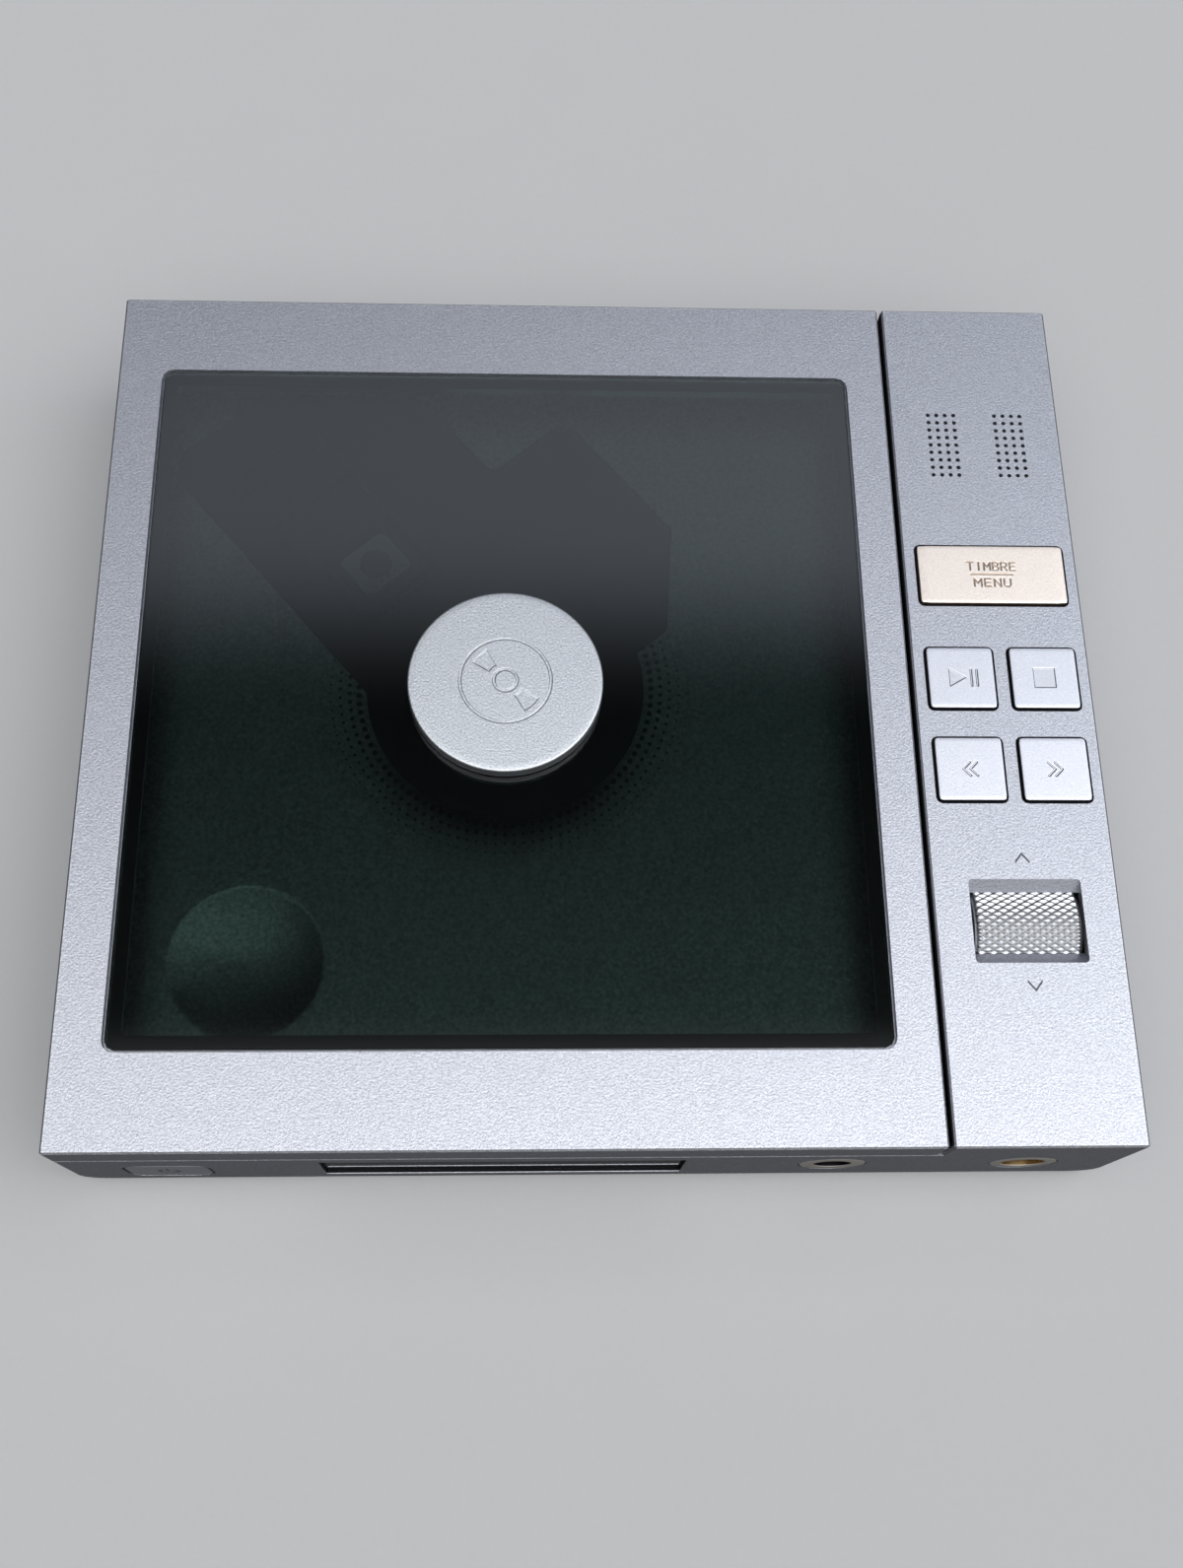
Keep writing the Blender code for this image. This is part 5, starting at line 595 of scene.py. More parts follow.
@dataclass(frozen=True)
class WornAndHighlightFinish(Finish):
    """Grained finish whose outer edges are polished by handling and lightened by a painted highlight."""

    worn_highlight: Colour = (0.86, 0.87, 0.90)
    reach: float = 0.7 * MM
    amount: float = 0.3
    smoother: float = 0.18
    nodes: tuple[str, ...] = ()

    def look(self, sheet: Sheet) -> Inputs:
        """The grain, smoother at the edges of the box round the nodes, and brighter there by wear and a
        painted highlight.

        Args:
            sheet: Node tree of the material.

        Returns:
            What the shader's inputs get.
        """
        look = super().look(sheet)
        box = Box(*self.nodes)
        wear_highlight = sheet.add("Group", {
            "Colour": look["Base Color"],
            "Worn Highlight Colour": rgba(self.worn_highlight),
            "Middle": tuple(box.centre * MM),
            "Half Size": tuple(box.size / 2 * MM),
            "Reach": self.reach,
            "Amount": self.amount,
        }, node_tree=wear_and_highlight_group()).outputs
        less = sheet.maths("MULTIPLY", wear_highlight["Mask"], self.smoother)
        roughness = sheet.maths("SUBTRACT", look["Roughness"], less)
        return look | {"Base Color": wear_highlight["Colour"], "Roughness": roughness}


@dataclass(frozen=True)
class GlassFinish(Finish):
    """Clear or tinted glass with faint smears in its gloss."""

    ior: float = 1.52

    def look(self, sheet: Sheet) -> Inputs:
        """Clear glass: broad noise roughens and tones it.

        Args:
            sheet: Node tree of the material.

        Returns:
            What the shader's inputs get.
        """
        noise = sheet.noise(sheet.place(), 38.0, 4.0, 0.6)
        smear = sheet.ramp(noise, 0.45, 0.8, self.roughness, self.roughness + self.spread)
        swing = sheet.maths("MULTIPLY", sheet.maths("SUBTRACT", smear, self.roughness), self.cloud)
        colour = sheet.dimmed(self.colour, sheet.maths("ADD", 1.0, swing))
        return {"Base Color": colour, "Roughness": smear, "Transmission Weight": 1.0, "IOR": self.ior}


@dataclass(frozen=True)
class ShadedFinish(Finish):
    """Grained finish with painted shade: each point carries a 0 to 1 shade level in its height attribute; 0
    takes the shade colour, 1 the plain one.
    """

    # colour of the painted shade
    shade_colour: Colour = (0.1, 0.1, 0.1)

    def look(self, sheet: Sheet) -> Inputs:
        """The grain, and the painted shade colour where the shade level is low.

        Args:
            sheet: Node tree of the material.

        Returns:
            What the shader's inputs get.
        """
        look = super().look(sheet)
        # the height attribute holds each point's painted shade level
        level = sheet.add("Attribute", attribute_name="height").outputs["Fac"]
        share = sheet.ramp(level, 0.0, 0.8, 0.0, 1.0)
        return look | {"Base Color": sheet.mixed(share, rgba(self.shade_colour), look["Base Color"])}


@dataclass(frozen=True)
class WovenFinish(Finish):
    """Fine woven screen: two sets of threads, each a wave across the other, lift and shade the surface."""

    thread: float = 0.25 * MM

    def look(self, sheet: Sheet) -> Inputs:
        """The grain, shaded and raised by the weave.

        Args:
            sheet: Node tree of the material.

        Returns:
            What the shader's inputs get.
        """
        look = super().look(sheet)
        axes = sheet.axes(sheet.place())[:2]
        waves = [sheet.maths("SINE", sheet.maths("MULTIPLY", axis, TURN / self.thread)) for axis in axes]
        weave = sheet.ramp(sheet.maths("MAXIMUM", *waves), -0.4, 1.0, 0.35, 1.0)
        colour = sheet.dimmed(look["Base Color"], weave)
        return look | {"Base Color": colour, "Normal": sheet.bump(weave, 0.6)}


@dataclass(frozen=True)
class FloorFinish(Finish):
    """Grained floor with a calmer colour in reflections and in its own bounced light."""

    bounce: Colour = (0.035, 0.035, 0.037)

    def look(self, sheet: Sheet) -> Inputs:
        """The grain to the camera, the bounce colour to all other rays.

        Args:
            sheet: Node tree of the material.

        Returns:
            What the shader's inputs get.
        """
        look = super().look(sheet)
        return look | {"Base Color": sheet.mixed(sheet.seen(0.5), rgba(self.bounce), look["Base Color"])}


SILVER_GRAIN = dict(roughness=0.44, metallic=1.0, grains=2900.0, speckle=1.0, cloud=0.03, relief=1.2)
KEY_GRAIN = dict(roughness=0.42, metallic=1.0, grains=3400.0, speckle=0.35, cloud=0.02, relief=0.5)


def player_finishes() -> dict[str, Material]:
    """Makes every finish of the player once.

    Returns:
        The material of each finish by its short name.
    """
    finishes = {
        # silver's edges: handling wear and a painted highlight
        "silver": WornAndHighlightFinish("silver_aluminium", (0.50, 0.517, 0.565), **SILVER_GRAIN,
                             nodes=("housing", "lid_frame")),
        # shade_colour: painted shade in sunk signs, down the sides of keys and in knurl grooves
        "key_silver": ShadedFinish("key_aluminium", (0.74, 0.755, 0.81), **KEY_GRAIN,
                                   shade_colour=(0.07, 0.073, 0.085)),
        "deck": Finish("deck_aluminium", (0.50, 0.51, 0.525), 0.37, 1.0, 1700.0, 1.7, 0.05, relief=1.3),
        # black: dark trim, and also painted shade as the sheets in the key gaps and the column slit
        "black": Finish("black_trim_and_painted_shade", (0.012, 0.012, 0.014), 0.6, 1.0, 2500.0, 0.2, relief=0.1),
        # ramp: darker copy of the silver, painted shade on the sloped faces at the wheel
        "ramp": Finish("ramp_painted_shade_aluminium", (0.30, 0.31, 0.35), 0.5, 1.0, 2900.0, 0.8, 0.03, relief=1.0),
        "puck": ShadedFinish("puck_aluminium", (0.60, 0.625, 0.655), **SILVER_GRAIN,
                             shade_colour=(0.17, 0.18, 0.20)),
        "champagne": ShadedFinish("champagne_aluminium", (0.99, 0.885, 0.795), **KEY_GRAIN,
                                  shade_colour=(0.33, 0.25, 0.195)),
        "engraving": Finish("engraved_line", (0.11, 0.115, 0.13), 0.6, 1.0),
        "knurl": ShadedFinish("knurled_steel", (0.94, 0.95, 0.97), 0.36, 1.0, 5000.0, 0.08, relief=0.1,
                              shade_colour=(0.13, 0.135, 0.145)),
        "cover": Finish("cover_paint", (0.045, 0.046, 0.05), 0.55, 0.0, 1800.0, 0.3, relief=0.7),
        "ring": Finish("socket_ring_metal", (0.66, 0.64, 0.59), 0.30, 0.6, relief=0.05),
        "pale": Finish("lens_frame_plastic", (0.27, 0.28, 0.29), 0.4, 0.0, 2600.0, 0.1, relief=0.2),
        "gold": Finish("gold_plate", (0.66, 0.48, 0.25), 0.25, 1.0, relief=0.05),
        "smoked": GlassFinish("smoked_glass", (0.150, 0.205, 0.188), 0.003, spread=0.012, cloud=0.2,
                              ior=1.58),
        "display": Finish("display_glass", (0.006, 0.007, 0.009), 0.06, 0.0, 300.0, 0.05, relief=0.0,
                          coat=0.5),
        "lens": GlassFinish("lens_glass", (0.72, 0.80, 0.95), 0.01, spread=0.01, cloud=0.0, ior=1.6),
        "ink": Finish("printed_ink", (0.006, 0.006, 0.007), 0.42, 0.0, 2500.0, 0.1, relief=0.1),
        "plastic": Finish("black_plastic", (0.016, 0.016, 0.018), 0.48, 0.0, 2600.0, 0.25, relief=0.2),
        "socket": Finish("socket_plastic", (0.020, 0.020, 0.022), 0.4, 0.0, 2600.0, 0.15, relief=0.2),
        "motor": Finish("motor_steel", (0.42, 0.42, 0.43), 0.36, 1.0, 1500.0, 0.12, 0.1, relief=0.15),
        "steel": Finish("bright_steel", (0.66, 0.66, 0.67), 0.2, 1.0, 1200.0, 0.06, 0.05, relief=0.05),
        "magnet": Finish("magnet_nickel", (0.55, 0.54, 0.52), 0.25, 1.0, 1500.0, 0.06, relief=0.05),
        "rubber": Finish("rubber", (0.022, 0.022, 0.023), 0.78, 0.0, 1600.0, 0.3, relief=0.6),
        "screen": WovenFinish("screen_fabric", (0.014, 0.015, 0.015), 0.8, 1.0),
        "board": Finish("board_green", (0.012, 0.075, 0.035), 0.42, 0.0, 260.0, 0.35, 0.2, coat=0.3),
        "battery": Finish("battery_wrap", (0.055, 0.058, 0.065), 0.35, 0.0, 200.0, 0.15, 0.1),
    }
    return {name: finish.material() for name, finish in finishes.items()}


CAD_FINISHES = {
    "silver": "housing lid_frame",
    "deck": "deck_plate",
    "cover": "bottom_cover",
    "plastic": "mechanism_cover mechanism_chassis pickup_sled display_module",
    "pale": "lens_holder",
    "rubber": "damper_heel damper_far_left damper_far_right",
    "steel": "guide_rod_left guide_rod_right spindle_shaft feed_screw hinge_pin_left hinge_pin_right "
             "disc_catch_1 disc_catch_2 disc_catch_3 charging_port",
    "motor": "spindle_motor feed_motor hinge_block_left hinge_block_right",
    "magnet": "hub_magnet lid_magnet body_magnet",
    "board": "key_board main_board",
    "screen": "grille_screen",
    "socket": "wheel_bracket wheel_encoder power_switch small_socket large_socket line_out_socket",
    "display": "display_pane",
    "battery": "battery",
}


# Pieces


@dataclass
class Assembly:
    """Sub-assembly that builds its pieces with the player's materials."""

    materials: dict[str, Material]
    count: int = 0

    def piece(
        self, name: str, shape: Shape, material: str, body: Body | str, slot: str,
        replaces: Sequence[str] = (), values: np.ndarray | None = None,
    ) -> None:
        """Makes a finished piece of a surface.

        Args:
            name: Name of the piece.
            shape: Its closed surface in the frame of the model, in millimetres.
            material: Name of its finish.
            body: Body that it rides on.
            slot: Material slot of the record; not used.
            replaces: CAD nodes that it stands for.
            values: Painted shade level of each point for a shaded finish, kept in its height attribute.
        """
        mesh = bpy.data.meshes.new(name)
        mesh.from_pydata((shape.points * MM).tolist(), [], shape.faces)
        # painted shade level of each point, under the attribute name height
        if values is not None:
            attribute = mesh.attributes.new("height", "FLOAT", "POINT")
            attribute.data.foreach_set("value", values.astype(np.float32).ravel())
        work = bmesh.new()
        work.from_mesh(mesh)
        bmesh.ops.remove_doubles(work, verts=work.verts, dist=WELD * MM)
        bmesh.ops.recalc_face_normals(work, faces=work.faces)
        work.to_mesh(mesh)
        work.free()
        mesh.materials.append(self.materials[material])
        mesh.shade_smooth()
        mesh.set_sharp_from_angle(angle=SHARP)
        thing = bpy.data.objects.new(name, mesh)
        bpy.context.scene.collection.objects.link(thing)
        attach(thing, body.value if isinstance(body, Body) else body)
        if replaces:
            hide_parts(*replaces)
        self.count += 1
        log.info("%s: %d faces", name, len(mesh.polygons))


@dataclass
class Glass(Assembly):
    """Smoked pane of the lid with the print on its underside."""

    corner: float = 1.58
    edge: float = 0.15
    hole: float = 8.3
    band: float = 2.3
    mask: float = 22.65
    ink: float = 0.02
    lift: float = 0.012
    first_ring: float = 23.9
    ring_pitch: float = 1.53
    dot_pitch: float = 1.5
    dots: tuple[float, ...] = (0.47, 0.36, 0.27, 0.19, 0.12)
    steps: int = 512
    mask_steps: tuple[int, int] = (160, 96)
    dot_steps: int = 10

    def build(self) -> None:
        """Makes the pane and its print."""
        box = Box("lid_glass")
        pane, ink = self.pane(box).moved(box.foot), self.print(box).moved(box.foot)
        self.piece("smoked_pane", pane, "smoked", Body.LID, "smoked_glass", ["lid_glass"])
        self.piece("pane_print", ink, "ink", Body.LID, "mechanism_plastic")

    def pane(self, box: Box) -> Shape:
        """Pane with polished edges: rings run from the hole out over the top, round the rim and back below.

        Args:
            box: Box of the pane.

        Returns:
            The closed pane, its middle at the origin.
        """
        direction = rays(full_turn(self.steps))
        slant = np.abs(direction)

        def outer(inset: float) -> np.ndarray:
            """Rounded square cut by rays from the middle: its sides, or a corner circle where that is nearer.

            Args:
                inset: Distance inside the pane's own rim.

            Returns:
                Its outline.
            """
            half = box.size[:2] / 2 - inset
            radius = self.corner - inset
            side = np.min(half / np.maximum(slant, 1e-9), axis=1)
            corner = half - radius
            ahead = slant @ corner
            root = np.sqrt(np.maximum(ahead**2 - corner @ corner + radius**2, 0))
            in_corner = np.all(slant * side[:, None] > corner, axis=1)
            return direction * np.where(in_corner, ahead + root, side)[:, None]

        bevel, bottom, top = self.edge, box.bottom, box.top
        hole, hole_wide = direction * self.hole, direction * (self.hole + bevel)
        rings = [
            (hole, bottom + bevel), (hole, top - bevel), (hole_wide, top), (outer(bevel), top),
            (outer(0), top - bevel), (outer(0), bottom + bevel), (outer(bevel), bottom), (hole_wide, bottom),
        ]
        return grid(np.stack([ring_at(*ring) for ring in rings], axis=1), wrap_u=True, wrap_v=True)

    def print(self, box: Box) -> Shape:
        """Ink on the underside: a band along the rim, a ring round the hole and rings of shrinking dots.

        Args:
            box: Box of the pane.

        Returns:
            The ink as thin closed plates.
        """
        top = box.bottom - self.lift
        heights = top - self.ink, top
        rim = rectangle(*(box.size[:2] - 2 * self.edge), self.corner)
        inner = rectangle(*(box.size[:2] - 2 * self.band), self.corner / 2)
        radii = self.mask, self.hole + self.edge
        ring = [circle(*pair) for pair in zip(radii, self.mask_steps)]
        plates = [slab([rim, inner], *heights), slab(ring, *heights)]
        for index, radius in enumerate(self.dots):
            reach = self.first_ring + index * self.ring_pitch
            places = circle(reach, round(TURN * reach / self.dot_pitch), first=-math.pi / 2)
            plates += [slab([circle(radius, self.dot_steps, place)], *heights) for place in places]
        return joined(plates)


@dataclass
class Puck(Assembly):
    """Round cap on the glass with a sunk disc sign, and the clamp and ring below it."""

    edge: float = 0.35
    neck: float = 8.0
    bore: float = 3.3
    bore_depth: float = 1.9
    under: float = 0.3
    depth: float = 0.12
    line: float = 0.46
    wall: float = 0.15
    sign: float = 7.4
    hub: float = 1.9
    gleam: tuple[float, float] = (4.65, 1.6)
    gleam_turns: tuple[float, float] = (math.radians(135), math.radians(315))
    gleam_spread: float = math.radians(15)
    pitch: float = 0.06
    steps: int = 320
    side_shade_level: float = 0.15

    def build(self) -> None:
        """Makes the cap, its retaining ring and the clamp disc."""
        place = Box("puck").foot
        cap, level = self.cap()
        self.piece("puck_cap", cap.moved(place), "puck", Body.LID, "silver_aluminium", ["puck"], level)
        ring, clamp = self.ring().moved(place), self.clamp().moved(place)
        self.piece("retaining_ring", ring, "motor", Body.LID, "motor_steel", ["puck_retainer"])
        self.piece("clamp_plate", clamp, "plastic", Body.CLAMP, "motor_steel", ["clamp_disc"])

    def cap(self) -> tuple[Shape, np.ndarray]:
        """Cap over radius and turn: flat top less the sunk sign, an eased rim, and the neck below.

        Returns:
            The closed cap, and for each point its painted shade level: 1, or less along the sign's outline
            and on the turned side.
        """
        box = Box("puck")
        under = Box("lid_glass").top + self.under
        flat = np.concatenate([
            [0.02, 0.6], np.arange(0.8, self.sign + 0.55, self.pitch),
            np.linspace(self.sign + 1.2, box.radius - self.edge, 8),
        ])
        turn = full_turn(self.steps)[:, None]
        signs = [
            lambda r, t: np.abs(r - self.sign) - self.line / 2,
            lambda r, t: np.abs(r - self.hub) - self.line / 2,
            lambda r, t: np.maximum(np.abs(r - self.gleam[0]) - self.gleam[1], self.beside(r, t)),
        ]
        share, outline = engraved(any_of(signs), self.wall, flat[None, :], turn)
        rim = (box.radius, box.top) + self.edge * (rays(math.pi / 2 - np.linspace(0, math.pi / 2, 6)[1:]) - 1)
        step = box.bottom + self.bore_depth
        below = [(box.radius, under), (self.neck, under), (self.neck, box.bottom), (self.bore, box.bottom),
                 (self.bore, step), (0, step)]
        tail = np.concatenate([rim, below])
        radii = np.concatenate([[0], flat, tail[:, 0]]) + 0 * turn
        heights = np.concatenate([np.full(len(flat) + 1, box.top), tail[:, 1]]) + 0 * turn
        heights[:, 1:len(flat) + 1] -= self.depth * share
        # painted shade: darker along the sign's outline, and on the turned side and below the rim
        level = np.ones(heights.shape)
        level[:, 1:len(flat) + 1] -= outline
        level[:, -len(below) - 1:] = self.side_shade_level
        return spun(radii, heights), level

    def beside(self, radius: np.ndarray, turn: np.ndarray) -> np.ndarray:
        """Arc distance outside the two gleams of the disc sign, at the upper left and the lower right."""
        away = [np.abs((turn - middle + math.pi) % TURN - math.pi) for middle in self.gleam_turns]
        return (np.minimum(*away) - self.gleam_spread) * radius

    def ring(self) -> Shape:
        """Retaining ring with eased outer corners.

        Returns:
            The closed ring.
        """
        box = Box("puck_retainer")
        step, stem, floor = self.neck + 0.3, 2.3, box.bottom + 0.7
        return lathe([
            (step, box.top, 0), (box.radius, box.top, 0.2), (box.radius, box.bottom, 0.3),
            (stem, box.bottom, 0.1), (stem, floor, 0), (step, floor, 0),
        ], ring=True)

    def clamp(self) -> Shape:
        """Clamp disc: flat plate with a groove, a recess for the spigot below and a headed stem above.

        Returns:
            The closed disc.
        """
        box = Box("clamp_disc")
        low, high = box.bottom, box.top
        plate, head = low + 1.7, high - 1.0
        return lathe([
            (0, high, 0), (3.0, high, 0.2), (3.0, head, 0), (2.0, head, 0), (2.0, plate, 0.15),
            (9.0, plate, 0.1), (9.3, plate - 0.3, 0.1), (10.3, plate - 0.3, 0.1), (10.6, plate, 0.1),
            (box.radius, plate, 0.4), (box.radius, low, 0.2), (8.1, low, 0.2), (8.1, low + 1.0, 0),
            (0, low + 1.0, 0),
        ])


@dataclass
class Deck(Assembly):
    """Deck plate: the CAD plate with a finely turned finger dimple in place of its faceted one."""

    radius: float = 12.35
    depth: float = 3.2
    ease: float = 0.55
    rim: float = 0.45
    grow: float = 1.1
    reach: float = 60.0
    angle: float = math.radians(-133.0)
    near: float = 0.3
    steps: int = 160

    def build(self) -> None:
        """Makes the deck of the CAD plate's triangles, a flat ring round the dimple and a fine bowl."""
        place = Box("spindle_hub").foot + (*self.reach * rays(self.angle), 0)
        top = Box("deck_plate").top
        triangles = self.triangles() - place
        ball = (self.radius**2 + self.depth**2) / (2 * self.depth)
        away = np.hypot(triangles[..., 0], triangles[..., 1])
        on_ball = np.abs(np.hypot(away, triangles[..., 2] - top + self.depth - ball) - ball) < self.near
        plate = triangles[~(on_ball & (away < self.radius + self.near)).all(axis=1)]
        away = np.hypot(plate[..., 0], plate[..., 1])
        rim = (away < self.radius + self.near) & (np.abs(plate[..., 2] - top) < self.near)
        plate[..., :2] = np.where(rim[..., None], self.grow * plate[..., :2], plate[..., :2])
        corners = np.unique(np.round(plate[rim][:, :2], 4), axis=0)
        corners = corners[np.argsort(np.arctan2(corners[:, 1], corners[:, 0]))]
        outlines = [corners, circle(self.radius + self.rim, self.steps)]
        ring = Shape(ring_at(np.concatenate(outlines), top), filling(outlines))
        faces = np.arange(plate.size // 3).reshape(-1, 3).tolist()
        bowl = lathe(self.profile(top, ball), self.steps)
        whole = joined([Shape(plate.reshape(-1, 3), faces), ring, bowl]).moved(place)
        self.piece("deck_sheet", whole, "deck", Body.PLAYER, "silver_aluminium", ["deck_plate"])

    def triangles(self) -> np.ndarray:
        """Reads the CAD plate.

        Returns:
            Corners of its triangles, of shape (n, 3, 3).
        """
        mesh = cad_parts["deck_plate"].data
        points = np.empty(3 * len(mesh.vertices), np.float32)
        mesh.vertices.foreach_get("co", points)
        corners = np.empty(len(mesh.loops), np.int32)
        mesh.loops.foreach_get("vertex_index", corners)
        return points.reshape(-1, 3)[corners].reshape(-1, 3, 3).astype(float) / MM

    def profile(self, top: float, ball: float) -> np.ndarray:
        """Bowl's section: an arc of the ball, then a curve with one handle that eases it into the deck.

        Args:
            top: Height of the deck.
            ball: Radius of the ball.

        Returns:
            Radius and height of each point.
        """
        turn = np.linspace(0, math.asin(self.radius / ball), 40)
        bowl = np.stack([ball * np.sin(turn), top - self.depth + ball * (1 - np.cos(turn))], axis=-1)
        keep = bowl[bowl[:, 0] < self.radius - self.ease]
        share = np.linspace(0, 1, 10)[1:, None]
        corner, end = np.array([self.radius, top]), np.array([self.radius + self.rim, top])
        blend = (1 - share)**2 * keep[-1] + 2 * share * (1 - share) * corner + share**2 * end
        return np.concatenate([keep, blend])


LETTER_HEIGHT = 1.3
LETTERS = {
    "T": (((0.0, 1.3), (1.0, 1.3)), ((0.5, 1.3), (0.5, 0.0))),
    "I": (((0.5, 1.3), (0.5, 0.0)),),
    "B": (((0.05, 0.0), (0.05, 1.3), (0.72, 1.3), (0.92, 1.12), (0.92, 0.86), (0.72, 0.68), (0.05, 0.68)),
          ((0.72, 0.68), (0.97, 0.46), (0.97, 0.22), (0.74, 0.0), (0.05, 0.0))),
    "R": (((0.05, 0.0), (0.05, 1.3), (0.72, 1.3), (0.95, 1.1), (0.95, 0.82), (0.72, 0.62), (0.05, 0.62)),
          ((0.55, 0.62), (0.97, 0.0))),
    "N": (((0.05, 0.0), (0.05, 1.3), (0.95, 0.0), (0.95, 1.3)),),
    "E": (((0.95, 1.3), (0.08, 1.3), (0.08, 0.0), (0.95, 0.0)), ((0.08, 0.68), (0.82, 0.68))),
    "M": (((0.0, 0.0), (0.0, 1.3), (0.5, 0.55), (1.0, 1.3), (1.0, 0.0)),),
    "U": (((0.04, 1.3), (0.04, 0.3), (0.32, 0.0), (0.68, 0.0), (0.96, 0.3), (0.96, 1.3)),),
}


def word(text: str, height: float, width: float, pitch: float, line: float) -> Relief:
    """Word as engraved lines, its middle at the origin.

    Args:
        text: Capital letters.
        height: Letter height.
        width: Letter width.
        pitch: Step from letter to letter.
        line: Width of the lines.

    Returns:
        Distance to the word's edge.
    """
    tall = height / LETTER_HEIGHT
    starts = [index * pitch - (pitch * (len(text) - 1) + width) / 2 for index in range(len(text))]
    return any_of([
        along([(start + width * x, tall * y - height / 2) for x, y in stroke], line)
        for start, letter in zip(starts, text) for stroke in LETTERS[letter]
    ])


def chevrons(toward: float, *places: float) -> Relief:
    """Arrow heads, each one bent line.

    Args:
        toward: 1 for heads that point along X, -1 for heads that point back.
        places: Their places along X.

    Returns:
        Distance to the nearest head's edge.
    """
    half, rise = toward * 0.55, 1.15
    head = along([(-half, rise), (half, 0), (-half, -rise)], 0.3)
    return any_of([shifted(head, place, 0) for place in places])


def key_signs() -> dict[str, Relief]:
    """Draws the signs of the column keys.

    Returns:
        Distance to the edge of each key's sign, in its own plane, by the name of its node.
    """
    return {
        "play_key": any_of([
            filled([(-2.0, -1.6), (0.75, 0), (-2.0, 1.6)]),
            *[along([(x, -1.45), (x, 1.45)], 0.3) for x in (1.65, 2.6)],
        ]),
        "stop_key": filled([(sx * 1.8, sy * 1.75) for sx, sy in QUARTERS]),
        "previous_key": chevrons(-1, -0.6, 0.55),
        "next_key": chevrons(1, -0.55, 0.6),
        "menu_key": any_of([
            shifted(word("TIMBRE", 1.5, 1.04, 1.45, 0.22), 0, 1.6),
            along([(-3.5, 0.05), (3.5, 0.05)], 0.3),
            shifted(word("MENU", 1.5, 1.2, 1.68, 0.22), 0, -1.5),
        ]),
    }


